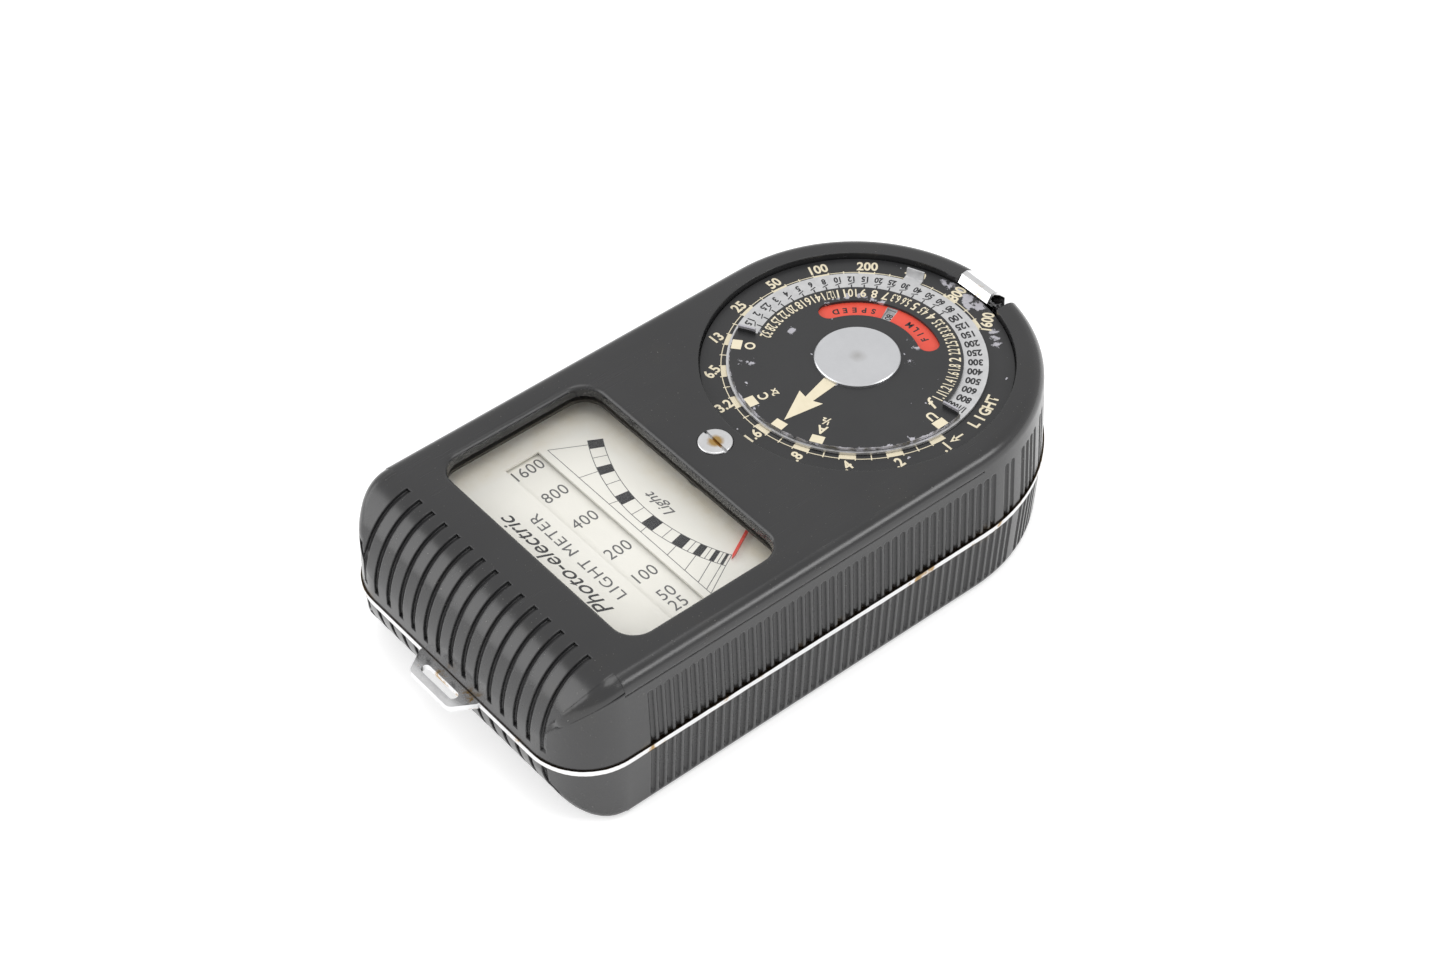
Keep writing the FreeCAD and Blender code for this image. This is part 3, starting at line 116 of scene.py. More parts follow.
class Finish:
    """A material on one Principled shader, with the nodes that vary it."""

    def __init__(self, name, **constants):
        self.material = bpy.data.materials.new(name)
        self.material.use_nodes = True
        self.tree = self.material.node_tree
        self.shader = self.tree.nodes["Principled BSDF"]
        for socket, value in constants.items():
            self.shader.inputs[socket.replace("_", " ")].default_value = value

    def fill(self, socket, value):
        if isinstance(value, Value):
            self.tree.links.new(value.socket, socket)
        else:
            socket.default_value = value

    def node(self, kind, settings=None, inputs=None, output=0):
        made = self.tree.nodes.new(kind)
        for name, value in (settings or {}).items():
            setattr(made, name, value)
        for name, value in (inputs or {}).items():
            self.fill(made.inputs[name], value)
        return Value(self, made.outputs[output])

    def put(self, socket, value):
        self.fill(self.shader.inputs[socket], value)

    def place(self):
        return self.node("ShaderNodeTexCoord", output="Object")

    def shifted(self, x=0.0, y=0.0, turn=0.0, scale=(1.0, 1.0, 1.0)):
        return self.node("ShaderNodeMapping", inputs={
            "Vector": self.place(), "Location": (x, y, 0.0), "Rotation": (0.0, 0.0, turn), "Scale": scale})

    def noise(self, scale, detail=4.0, roughness=0.55, where=None):
        return self.node("ShaderNodeTexNoise", inputs={
            "Vector": where or self.place(), "Scale": scale, "Detail": detail, "Roughness": roughness})

    def window(self, value, low, high, bottom=0.0, top=1.0):
        """value taken from low..high to bottom..top, and held there beyond."""
        return self.node("ShaderNodeMapRange", inputs={
            "Value": value, "From Min": low, "From Max": high,
            "To Min": bottom, "To Max": top})

    def mix(self, factor, first, second):
        return self.node("ShaderNodeMix", {"data_type": "RGBA"}, {
            "Factor": factor, 6: first, 7: second}, output=2)

    def axis(self, which):
        return self.node("ShaderNodeSeparateXYZ", inputs={"Vector": self.place()}, output=which)

    def radius(self, x, y):
        """Distance in metres from an upright axis through a point in mm."""
        flat = self.node("ShaderNodeVectorMath", {"operation": "MULTIPLY"}, {
            0: self.place(), 1: (1.0, 1.0, 0.0)})
        return self.node("ShaderNodeVectorMath", {"operation": "DISTANCE"}, {
            0: flat, 1: (x * MM, y * MM, 0.0)}, output="Value")

    def bump(self, height, distance, strength=1.0):
        self.put("Normal", self.node("ShaderNodeBump", inputs={
            "Height": height, "Distance": distance, "Strength": strength}))


def give(obj, finish):
    """Puts one finish on an object, over whatever it had."""
    obj.data.materials.clear()
    obj.data.materials.append(finish.material)
    return obj


def as_object(mesh_builder, name, body, finish):
    """Turns a finished bmesh into a piece that rides on a body."""
    mesh = bpy.data.meshes.new(name)
    mesh_builder.to_mesh(mesh)
    mesh_builder.free()
    piece = bpy.data.objects.new(name, mesh)
    bpy.context.scene.collection.objects.link(piece)
    give(piece, finish)
    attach(piece, body)
    return piece


def smoothed(node, body, finish, angle=32.0):
    """A merged, smooth-shaded copy of a CAD node. Edges sharper than the angle stay sharp."""
    shape = bmesh.new()
    shape.from_mesh(frame["nodes"][node].data)
    bmesh.ops.remove_doubles(shape, verts=shape.verts, dist=MERGE_DISTANCE)
    bmesh.ops.dissolve_degenerate(shape, edges=shape.edges, dist=MERGE_DISTANCE / 2)
    for facet in shape.faces:
        facet.smooth = True
    limit = math.radians(angle)
    for edge in shape.edges:
        edge.smooth = len(edge.link_faces) == 2 and edge.calc_face_angle(0.0) < limit
    piece = as_object(shape, node + "_finished", body, finish)
    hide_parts(node)
    return piece


phenolic = Finish("black_phenolic", Roughness=0.3, IOR=1.53)
scuffs = phenolic.noise(900.0, 6.0, 0.7, phenolic.shifted(turn=0.4, scale=(1.0, 0.07, 1.0)))
handling = phenolic.noise(42.0, 3.0, 0.6)
speckle = phenolic.noise(2600.0, 2.0, 0.5)
patches = phenolic.noise(130.0, 5.0, 0.65)
dust = phenolic.window(speckle, 0.70, 0.76) * phenolic.window(patches, 0.45, 0.62)
grime = phenolic.window(patches, 0.56, 0.72)
from_seam = abs(phenolic.axis("Z") - SEAM_Z * MM)
seam = 1.0 - phenolic.window(from_seam, 0.6 * MM, 2.4 * MM)
scratches = phenolic.noise(240.0, 5.0, 0.75, phenolic.shifted(turn=-0.7, scale=(1.0, 0.03, 0.3)))
scratch = phenolic.window(scratches, 0.70, 0.74) * phenolic.window(patches, 0.42, 0.55)
tone = phenolic.mix(handling, (0.015, 0.015, 0.0158, 1), (0.023, 0.0228, 0.0235, 1))
tone = phenolic.mix(grime * 0.35, tone, (0.026, 0.024, 0.020, 1))
tone = phenolic.mix(seam * grime * 0.8, tone, (0.085, 0.062, 0.035, 1))
tone = phenolic.mix(dust * 0.5, tone, (0.26, 0.25, 0.23, 1))
tone = phenolic.mix(scratch * 0.25, tone, (0.12, 0.12, 0.12, 1))
phenolic.put("Base Color", tone)
phenolic.put("Roughness", phenolic.window(handling, 0.3, 0.7, 0.17, 0.27)
             + phenolic.window(scuffs, 0.55, 0.8, 0.0, 0.14) + dust * 0.3)
soft_edges = phenolic.node("ShaderNodeBevel", {"samples": 4}, {"Radius": SHELL_EDGE_RADIUS * MM})
moulding_waves = phenolic.noise(340.0, 4.0, 0.6)
phenolic.put("Normal", phenolic.node("ShaderNodeBump", inputs={
    "Height": scuffs * 0.25 + moulding_waves * 0.9 + speckle * 0.12 - scratch * 0.5,
    "Distance": 0.05 * MM, "Strength": 0.3, "Normal": soft_edges}))

smoothed("front_case", "case", phenolic, SHELL_CREASE)
smoothed("rear_case", "case", phenolic, SHELL_CREASE)

# ------------------------------------------------------------ plated band and lug
# A brass band with a carrying lug, bright plated and clamped between the shells.
# The plating has worn to brass here and there. The band is coloured darker along its edges next to the shells, but
# not on the lug, which stands clear of them.
LUG_ROOT_Y = -55.1
plating = Finish("worn_plating", Metallic=1.0)
worn = plating.noise(170.0, 6.0, 0.7)
rubbed = plating.window(worn, 0.57, 0.63)
height_off = abs(plating.axis("Z") - SEAM_Z * MM)
band_edge = plating.window(height_off + worn * (0.4 * MM), 0.62 * MM, 0.72 * MM)
beside_lug = plating.window(plating.axis("Y"), (LUG_ROOT_Y - 0.2) * MM, LUG_ROOT_Y * MM)
near_seam = 1.0 - plating.window(height_off, 1.0 * MM, 1.1 * MM)
# Near-black colour along the band's edges beside the shells, kept off the lug.
dark_band_margins = band_edge * beside_lug * near_seam
bright = plating.mix(plating.noise(600.0, 3.0), (0.66, 0.66, 0.67, 1), (0.80, 0.80, 0.80, 1))
bright = plating.mix(rubbed, bright, (0.42, 0.28, 0.13, 1))
plating.put("Base Color", plating.mix(dark_band_margins, bright, (0.05, 0.035, 0.02, 1)))
plating.put("Roughness", plating.window(worn, 0.35, 0.7, 0.12, 0.36))
plating.bump(plating.noise(1500.0, 5.0, 0.6), 0.02 * MM, 0.3)
smoothed("trim_band", "case", plating, SHELL_CREASE)

# ------------------------------------------------------------ scale under the window
# A printed metal plate under flat glass. Two numeral ranges are on a second
# plate that slides beneath a slot, and a red needle swings over the print.
WINDOW_Y = -23.5
PIVOT = (0.0, 19.0)
PRINT_Z = 24.115
CELL_INNER, CELL_OUTER = 34.7, 37.2
CELL_START, CELL_END = 240.0, 297.5
SLOT_LINE_Y = -19.45
SLOT_LINE_LEFT, SLOT_LINE_RIGHT = -21.0, 20.2
HAIRLINE = 0.12
CROSSING = 0.002  # how far apart prints lie where they cross
RANGE_Z = 23.215
RANGE_TRAVEL = 6.7
NUMERAL_Y = -24.05
NUMERAL_HEIGHT, NUMERAL_WIDTH = 2.35, 0.88

plate_white = Finish("scale_enamel", Roughness=0.55)
# The plate is coloured darker and yellower towards the sides and ends of the window, unevenly.
plate_sides = plate_white.window(abs(plate_white.axis("X")), 20.5 * MM, 24.7 * MM)
plate_ends = plate_white.window(abs(plate_white.axis("Y") - WINDOW_Y * MM), 11.5 * MM, 15.2 * MM)
toward_window_edges = plate_sides.or_more(plate_ends)
stain = plate_white.noise(210.0, 5.0, 0.65)
darker_window_edges = toward_window_edges * plate_white.window(stain, 0.35, 0.7, 0.25, 1.0) * 0.55
dark_stains = plate_white.window(stain, 0.68, 0.78) * 0.35
plate_tone = plate_white.mix(plate_white.noise(60.0, 3.0), (0.74, 0.725, 0.66, 1), (0.80, 0.785, 0.73, 1))
plate_tone = plate_white.mix(darker_window_edges, plate_tone, (0.62, 0.52, 0.34, 1))
plate_tone = plate_white.mix(dark_stains, plate_tone, (0.42, 0.36, 0.27, 1))
plate_white.put("Base Color", plate_tone)
plate_white.bump(plate_white.noise(1200.0, 3.0), 0.01 * MM, 0.3)
give(frame["nodes"]["scale_plate"], plate_white)
give(frame["nodes"]["range_plate"], plate_white)

ink = Finish("black_ink", Roughness=0.6)
thin_ink = ink.window(ink.noise(900.0, 4.0, 0.7), 0.58, 0.75) * 0.5
ink.put("Base Color", ink.mix(thin_ink, (0.012, 0.012, 0.014, 1), (0.09, 0.09, 0.085, 1)))
grey_ink = Finish("grey_ink", Roughness=0.6)
grey_ink.put("Base Color", grey_ink.mix(
    grey_ink.noise(700.0, 4.0), (0.06, 0.06, 0.063, 1), (0.13, 0.13, 0.13, 1)))
cream = Finish("cream_paint", Roughness=0.5)
cream.put("Base Color", cream.mix(
    cream.noise(700.0, 5.0, 0.7), (0.62, 0.55, 0.39, 1), (0.74, 0.67, 0.51, 1)))


def letters(shape, words, height, x, y, z, reading, width=1.0, weight=0.0, lean=0.0, spread=1.0, room=None):
    """Flat lettering centred on a point, reading along a direction in degrees; sizes in mm.
    It is condensed where it would be longer than the room it is given."""
    curve = bpy.data.curves.new("letters", "FONT")
    curve.body = words
    curve.align_x = "CENTER"
    curve.resolution_u = 4
    curve.offset = weight
    curve.shear = lean
    curve.space_character = spread
    holder = bpy.data.objects.new("letters", curve)
    flat = bpy.data.meshes.new_from_object(holder)
    bpy.data.objects.remove(holder)
    bpy.data.curves.remove(curve)
    xs = [v.co.x for v in flat.vertices]
    ys = [v.co.y for v in flat.vertices]
    scale = height / (max(ys) - min(ys)) * MM
    if room:
        width = min(width, room * MM / (scale * (max(xs) - min(xs))))
    centre = Matrix.Translation((-(max(xs) + min(xs)) / 2, -(max(ys) + min(ys)) / 2, 0))
    flat.transform(Matrix.Translation((x * MM, y * MM, z * MM)) @ Matrix.Rotation(math.radians(reading), 4, "Z")
                   @ Matrix.Diagonal((scale * width, scale, 1.0, 1.0)) @ centre)
    shape.from_mesh(flat)
    bpy.data.meshes.remove(flat)


def bar(shape, length, width, x, y, z, turn=0.0):
    """A flat printed rectangle centred on a point; sizes in mm."""
    move = (Matrix.Translation((x * MM, y * MM, z * MM)) @ Matrix.Rotation(math.radians(turn), 4, "Z")
            @ Matrix.Diagonal((length * MM, width * MM, 1.0, 1.0)))
    bmesh.ops.create_grid(shape, x_segments=1, y_segments=1, size=0.5, matrix=move)


def stroke(shape, start, end, width, z):
    """A flat printed line between two points in mm."""
    run = Vector(end) - Vector(start)
    middle = (Vector(end) + Vector(start)) / 2
    bar(shape, run.length, width, middle.x, middle.y, z, math.degrees(math.atan2(run.y, run.x)))


def arc(shape, centre, inner, outer, start, end, z, fine=2.0):
    """A flat printed piece of a ring between two angles, spun from its first edge; sizes in mm."""
    first = math.radians(start)
    ends = [shape.verts.new((
        (centre[0] + r * math.cos(first)) * MM, (centre[1] + r * math.sin(first)) * MM, z * MM))
        for r in (inner, outer)]
    edge = shape.edges.new(ends)
    steps = max(1, int(abs(end - start) / fine))
    bmesh.ops.spin(shape, geom=[edge] + ends, cent=(centre[0] * MM, centre[1] * MM, z * MM), axis=(0, 0, 1),
                   angle=math.radians(end - start), steps=steps)


def upward(shape):
    """Turns every flat printed face up."""
    for facet in shape.faces:
        facet.normal_update()
        if facet.normal.z < 0:
            facet.normal_flip()


def polar(centre, r, degrees):
    angle = math.radians(degrees)
    return centre[0] + r * math.cos(angle), centre[1] + r * math.sin(angle)


dark_print = bmesh.new()
fine_print = bmesh.new()
dark_cells = ((CELL_START, 243.1), (249.8, 252.7), (261.0, 264.4), (272.2, 276.0), (282.2, 285.4), (288.5, 290.6),
              (293.0, 294.3), (296.0, 296.8))
light_lines = (246.4, 256.4, 268.5, 279.3, 287.0, 291.8, 295.2, CELL_END)
line_feet = (SLOT_LINE_LEFT, -12.8, -5.1, 2.9, 9.5, 13.8, 17.1, 19.1)
for (start, end), line, foot in zip(dark_cells, light_lines, line_feet):
    arc(dark_print, PIVOT, CELL_INNER + 0.05, CELL_OUTER - 0.05, start, end, PRINT_Z)
    stroke(fine_print, polar(PIVOT, CELL_INNER, line), polar(PIVOT, CELL_OUTER, line), HAIRLINE, PRINT_Z)
    middle = polar(PIVOT, CELL_OUTER, (start + end) / 2)
    stroke(fine_print, middle, (foot, SLOT_LINE_Y), HAIRLINE, PRINT_Z)
stroke(fine_print, polar(PIVOT, CELL_OUTER, CELL_END), (SLOT_LINE_RIGHT, SLOT_LINE_Y), HAIRLINE, PRINT_Z)
for radius in (CELL_INNER, CELL_OUTER):
    arc(fine_print, PIVOT, radius - HAIRLINE / 2, radius + HAIRLINE / 2, CELL_START, CELL_END, PRINT_Z + 2 * CROSSING)
stroke(fine_print, (SLOT_LINE_LEFT, SLOT_LINE_Y), (SLOT_LINE_RIGHT, SLOT_LINE_Y), HAIRLINE, PRINT_Z + CROSSING)
letters(fine_print, "Light", 2.3, -0.1, -13.1, PRINT_Z, 180.0, width=1.25, weight=0.006, lean=0.35)
letters(fine_print, "LIGHT METER", 1.9, 0.5, -30.3, PRINT_Z, 180.0, width=1.25, spread=1.15)
letters(fine_print, "0", 1.5, 21.3, -15.6, PRINT_Z, 90.0, width=0.8)
letters(dark_print, "Photo-electric", 2.5, -0.4, -34.0, PRINT_Z, 180.0, width=1.3, weight=0.006, lean=0.35)
upward(dark_print)
upward(fine_print)
as_object(dark_print, "scale_print_dark", "case", ink)
as_object(fine_print, "scale_print_fine", "case", grey_ink)


range_print = bmesh.new()
bright_range = (("1600", -20.2), ("800", -13.2), ("400", -5.6), ("200", 2.9), ("100", 9.7), ("50", 14.9),
                ("25", 17.8))
dim_range = (("50", -20.2), ("40", -15.0), ("30", -9.0), ("20", -2.0), ("10", 6.0), ("5", 12.0), ("2", 16.0),
             (".2", 19.0))
for row, y in ((bright_range, NUMERAL_Y), (dim_range, NUMERAL_Y - RANGE_TRAVEL)):
    for words, x in row:
        letters(range_print, words, NUMERAL_HEIGHT, x, y, RANGE_Z, 90.0, NUMERAL_WIDTH, spread=1.08)
upward(range_print)
as_object(range_print, "range_numerals", "range_plate", grey_ink)

needle_red = Finish("needle_red", Roughness=0.45)
needle_red.put("Base Color", needle_red.mix(
    needle_red.noise(800.0, 3.0), (0.62, 0.035, 0.02, 1), (0.78, 0.07, 0.04, 1)))
give(frame["nodes"]["needle"], needle_red)

# The glass is clear but for what it mirrors, which is more at a grazing angle.
glass = Finish("window_glass", Metallic=1.0, Roughness=0.03, Base_Color=(1, 1, 1, 1))
haze = glass.window(glass.noise(260.0, 5.0, 0.7), 0.5, 0.75, 0.0, 0.02)
grazing = glass.node("ShaderNodeLayerWeight", inputs={"Blend": 0.5}, output="Facing")
mirrored = grazing * grazing * grazing * grazing
glass.put("Alpha", mirrored * 0.5 + haze + 0.02)
smoothed("window_glass", "case", glass)

rubber = Finish("gasket_rubber", Roughness=0.75)
rubber.put("Base Color", rubber.mix(rubber.noise(300.0), (0.02, 0.018, 0.015, 1), (0.05, 0.045, 0.035, 1)))
give(frame["nodes"]["window_gasket"], rubber)

# ------------------------------------------------------------ zero screw
# A slotted screw in the face that trims the needle's rest, nickel on brass.
# The plating has worn through in a round spot at the middle of its head.
ZERO_SCREW = (0.0, -1.75)
screw_finish = Finish("zero_screw_nickel", Metallic=1.0)
ragged_radius = screw_finish.radius(*ZERO_SCREW) + screw_finish.noise(900.0, 3.0) * (0.6 * MM)
plated = screw_finish.window(ragged_radius, 1.2 * MM, 1.8 * MM)
nickel = screw_finish.mix(screw_finish.noise(1100.0, 4.0), (0.60, 0.60, 0.61, 1), (0.72, 0.72, 0.72, 1))
screw_finish.put("Base Color", screw_finish.mix(plated, (0.42, 0.27, 0.10, 1), nickel))
screw_finish.put("Roughness", screw_finish.window(screw_finish.noise(700.0, 5.0), 0.3, 0.7, 0.28, 0.45))
smoothed("zero_screw", "zero_screw", screw_finish)

# ------------------------------------------------------------ light ring
# The outer dial, black enamel on aluminium, with cream numerals and index marks.
# The enamel is chipped to bright metal beside the latch and near 800.
DIAL = (0.0, 28.25)
RING_Z = 29.265
FIRST_LIGHT, LIGHT_STEP = -5.5, 20.0
THIRD = LIGHT_STEP / 3.0
LIGHT_RADIUS, WORD_RADIUS = 23.75, 23.2
INDEX_INNER, INDEX_OUTER = 21.3, 22.15
FILM_INNER, FILM_OUTER = 10.2, 14.3


def enamel_finish(name, chips, edge_radius=None, ear_height=None):
    """Black enamel, chipped to bare metal at each (x, y, radius) in mm. It is also bare along a
    rim of the given radius and above the given height, where a dial has them."""
    finish = Finish(name)
    ragged = (finish.noise(620.0, 7.0, 0.78) - 0.5) * (5.2 * MM)
    bare = finish.window(finish.noise(620.0, 2.0, 0.5), 0.748, 0.76)
    for x, y, reach in chips:
        bare = bare.or_more(1.0 - finish.window(
            finish.radius(x, y) + ragged, (reach - 0.1) * MM, reach * MM))
    metal = finish.mix(finish.noise(1500.0, 4.0), (0.40, 0.39, 0.43, 1), (0.60, 0.59, 0.63, 1))
    if edge_radius:
        rim = finish.window(finish.radius(*DIAL) + ragged * 0.3,
                            (edge_radius - 0.12) * MM, (edge_radius - 0.04) * MM)
        bare = bare.or_more(rim)
        rim_dirt = rim * finish.window(finish.noise(300.0, 4.0, 0.6), 0.42, 0.58)
        metal = finish.mix(rim_dirt, metal, (0.13, 0.12, 0.10, 1))
    if ear_height:
        bare = bare.or_more(finish.window(
            finish.axis("Z") + ragged * 0.15, (ear_height - 0.2) * MM, (ear_height - 0.1) * MM))
    black = finish.mix(finish.noise(90.0, 4.0), (0.014, 0.014, 0.015, 1), (0.022, 0.022, 0.023, 1))
    finish.put("Base Color", finish.mix(bare, black, metal))
    finish.put("Metallic", bare * 0.75)
    finish.put("Roughness", finish.window(finish.noise(500.0, 5.0, 0.7), 0.3, 0.7, 0.34, 0.46))
    finish.bump(bare * -1.0 + finish.noise(1800.0, 3.0) * 0.1, 0.03 * MM, 0.6)
    return finish


ring_enamel = enamel_finish("ring_enamel", (
    (-4.0, 52.6, 0.7), (-2.4, 52.9, 0.7), (-5.4, 52.3, 0.4), (0.3, 52.4, 1.1), (1.7, 51.7, 0.9), (2.8, 52.6, 1.0),
    (5.5, 52.2, 0.35), (9.0, 50.2, 0.6), (10.2, 49.3, 0.6), (11.4, 48.7, 0.5)))
smoothed("light_ring", "light_ring", ring_enamel)

ring_marks = bmesh.new()
ring_numbers = ((".1", 90), (".2", 90), (".4", 90), (".8", 100), ("1.6", 94), ("3.2", 90), ("6.5", 105),
                ("13", 92), ("25", 98), ("50", 90), ("100", 68), ("200", 47), ("400", 24), ("800", 104),
                ("1600", 129))
last_number = len(ring_numbers) - 1
for index, (words, reading) in enumerate(ring_numbers):
    angle = FIRST_LIGHT - LIGHT_STEP * index
    x, y = polar(DIAL, LIGHT_RADIUS, angle)
    letters(ring_marks, words, 2.1, x, y, RING_Z, reading, width=0.86, weight=0.028)
    arc(ring_marks, DIAL, INDEX_INNER, INDEX_OUTER, angle - THIRD / 2, angle + THIRD / 2, RING_Z, fine=1.7)
    for third in (-0.5, -1.5, -2.5) if index < last_number else ():
        tick = angle + THIRD * third
        bar(ring_marks, 1.1, 0.2, *polar(DIAL, INDEX_OUTER - 0.2, tick), RING_Z + 2 * CROSSING, tick)
arc(ring_marks, DIAL, INDEX_OUTER - 0.05, INDEX_OUTER + 0.11, -289.0, -2.0, RING_Z + CROSSING)
for index, letter in enumerate("LIGHT"):
    angle = 12.0 + 4.1 * index
    x, y = polar(DIAL, WORD_RADIUS, angle)
    letters(ring_marks, letter, 2.0, x, y, RING_Z, angle + 90.0, width=0.9, weight=0.03)
bar(ring_marks, 0.32, 2.0, *polar(DIAL, 23.3, 2.2), RING_Z)
tip_x, tip_y = polar(DIAL, 23.3, -2.2)
head = [ring_marks.verts.new((x * MM, y * MM, RING_Z * MM)) for x, y in (
    (tip_x, tip_y), (tip_x + 0.75, tip_y + 1.6), (tip_x, tip_y + 1.15), (tip_x - 0.75, tip_y + 1.6))]
ring_marks.faces.new(head)
upward(ring_marks)
as_object(ring_marks, "light_ring_marks", "light_ring", cream)

satin = Finish("satin_aluminium", Metallic=0.9)
brushed = satin.noise(700.0, 4.0, 0.6)
satin.put("Base Color", satin.mix(brushed, (0.54, 0.54, 0.55, 1), (0.70, 0.70, 0.70, 1)))
satin.put("Roughness", satin.window(brushed, 0.3, 0.7, 0.34, 0.5))
satin.bump(brushed, 0.01 * MM, 0.3)
film_band = bmesh.new()
arc(film_band, DIAL, FILM_INNER, FILM_OUTER, 0.0, 357.0, RING_Z)
upward(film_band)
as_object(film_band, "film_speed_band", "light_ring", satin)
film_print = bmesh.new()
film_speeds = ("400", "320", "250", "200", "160", "125", "100", "80", "64", "50", "40", "32", "24", "20", "16", "12")
shown_speed, shown_angle = film_speeds.index("80"), 113.5
for index, words in enumerate(film_speeds):
    angle = shown_angle + THIRD * (index - shown_speed)
    x, y = polar(DIAL, (FILM_INNER + FILM_OUTER) / 2, angle)
    letters(film_print, words, 1.15, x, y, RING_Z + 0.008, angle + 180.0, width=0.9, weight=0.02)
upward(film_print)
as_object(film_print, "film_speed_numbers", "light_ring", ink)

# ------------------------------------------------------------ speed disc
# A bright disc with the shutter times printed in black round its edge, and a
# red band that shows the film speed through a small opening.
SPEED_Z = 29.8
FIRST_FAST, FIRST_FRACTION = 15.0, 88.3
NUMERATOR_RADIUS, DENOMINATOR_RADIUS = 18.0, 19.9
BAND_START, BAND_END = 30.0, 197.0
OPENING_START, OPENING_END = 109.4, 117.6
BAND_INNER, BAND_OUTER = 9.9, 14.5
BAND_BORDER = 0.55
smoothed("speed_disc", "speed_disc", satin)
speed_print = bmesh.new()
times_z = SPEED_Z + 0.02
fast_times = ("1/1000", "800", "600", "500", "400", "300", "250", "200", "150", "125", "100")
fractions = ("80", "60", "50", "40", "30", "25", "20", "15", "12", "10", "8", "6", "5", "4", "3", "2.5", "2", "1.5",
             "1.2")
for index, words in enumerate(fast_times):
    angle = FIRST_FAST + THIRD * index
    radius, width = (19.2, 0.85) if index else (19.0, 0.62)
    letters(speed_print, words, 1.5, *polar(DIAL, radius, angle), times_z, angle + 180.0, width, weight=0.035)
for index, words in enumerate(fractions):
    angle = FIRST_FRACTION + THIRD * index
    letters(speed_print, words, 1.35, *polar(DIAL, DENOMINATOR_RADIUS, angle), times_z, angle + 90.0,
            width=0.8, weight=0.035)
    letters(speed_print, "1", 1.1, *polar(DIAL, NUMERATOR_RADIUS, angle), times_z, angle + 90.0,
            width=0.9, weight=0.035)
    bar(speed_print, 1.15, 0.18, *polar(DIAL, 18.85, angle), times_z, angle + 115.0)
upward(speed_print)
as_object(speed_print, "shutter_times", "speed_disc", ink)

red = Finish("red_enamel", Roughness=0.42)
red.put("Base Color", red.mix(red.noise(260.0, 4.0), (0.60, 0.05, 0.03, 1), (0.72, 0.085, 0.05, 1)))
red_band = bmesh.new()
for inner, outer, start, end in (
        (BAND_INNER, BAND_OUTER, BAND_START, OPENING_START),
        (BAND_INNER, BAND_OUTER, OPENING_END, BAND_END),
        (BAND_INNER, BAND_INNER + BAND_BORDER, OPENING_START, OPENING_END),
        (BAND_OUTER - BAND_BORDER, BAND_OUTER, OPENING_START, OPENING_END)):
    arc(red_band, DIAL, inner, outer, start, end, SPEED_Z + 0.012)
upward(red_band)
as_object(red_band, "red_band", "speed_disc", red)
red_words = bmesh.new()
for word, start, gap in (("FILM", 74.0, 6.6), ("SPEED", 126.0, 7.4)):
    for index, letter in enumerate(word):
        angle = start + gap * index
        x, y = polar(DIAL, (BAND_INNER + BAND_OUTER) / 2, angle)
        letters(red_words, letter, 1.25, x, y, SPEED_Z + 0.022, angle + 90.0, width=0.95, weight=0.035)
upward(red_words)
as_object(red_words, "film_speed_words", "speed_disc", ink)

# ------------------------------------------------------------ exposure dial
# The top disc: black enamel on aluminium with the cream pointer, index squares
# and f-numbers. Its rim and the ground by the red slot are worn to bare metal.
EXPOSURE_Z = 30.365
EXPOSURE_EDGE = 20.9
EAR_TOP = 31.15
POINTER_ANGLE = -80.0
FIRST_STOP = 15.0
SQUARE_RADIUS, STOP_RADIUS = 19.9, 15.85
exposure_enamel = enamel_finish("dial_enamel", (
    (6.2, 34.4, 0.42), (-11.9, 24.3, 0.5), (-11.0, 14.1, 0.3), (-10.4, 14.5, 0.3), (-11.6, 13.6, 0.3),
    (-3.0, 8.3, 0.6), (-1.9, 8.0, 0.4), (-4.0, 8.4, 0.4), (19.6, 22.6, 0.45), (18.6, 18.4, 0.5), (16.2, 14.9, 0.4),
    (-11.2, 38.2, 0.5), (-10.2, 38.9, 0.55), (-9.0, 39.6, 0.5), (-12.3, 36.8, 0.5), (-13.0, 35.4, 0.45),
    (-7.6, 40.4, 0.4), (-13.7, 33.6, 0.4), (-5.2, 39.7, 0.4), (-2.4, 40.2, 0.35), (2.4, 37.6, 0.3), (4.4, 37.2, 0.3),
    (-6.2, 37.6, 0.3), (-15.6, 20.4, 0.5)), EXPOSURE_EDGE, EAR_TOP)
smoothed("exposure_dial", "exposure_dial", exposure_enamel)

dial_marks = bmesh.new()
for angle in (POINTER_ANGLE, -60.0, -100.0, -140.0, 0.0):
    bar(dial_marks, 1.65, 2.2, *polar(DIAL, SQUARE_RADIUS, angle), EXPOSURE_Z, angle)
for words, angle, r, height in (("A", -60.0, 17.7, 1.9), ("½", -60.0, 15.6, 1.6), ("C", -100.0, 17.7, 1.8),
                                ("2x", -100.0, 15.7, 1.25), ("O", -140.0, 17.7, 1.8), ("U", 0.0, 17.9, 1.9)):
    letters(dial_marks, words, height, *polar(DIAL, r, angle), EXPOSURE_Z, angle - 90.0, width=0.9, weight=0.028)
letters(dial_marks, "f", 2.4, *polar(DIAL, 15.8, 8.0), EXPOSURE_Z, 98.0, weight=0.02, lean=0.3)
f_numbers = ("1.1", "1.2", "1.4", "1.6", "1.8", "2", "2.2", "2.5", "2.8", "3.2", "3.5", "4", "4.5", "5", "5.6", "6.3",
             "7", "8", "9", "10", "11", "12.7", "14", "16", "18", "20", "22", "25", "28", "32")
for index, words in enumerate(f_numbers):
    angle = FIRST_STOP + THIRD * index
    letters(dial_marks, words, 1.95, *polar(DIAL, STOP_RADIUS, angle), EXPOSURE_Z, angle + 90.0,
            width=0.8, weight=0.012, room=1.42)
corners = []
for r, off in ((7.15, 10.0), (12.4, 3.6), (12.1, 11.5), (18.7, 0.0), (12.1, -11.5), (12.4, -3.6), (7.15, -10.0)):
    x, y = polar(DIAL, r, POINTER_ANGLE + off)
    corners.append(dial_marks.verts.new((x * MM, y * MM, EXPOSURE_Z * MM)))
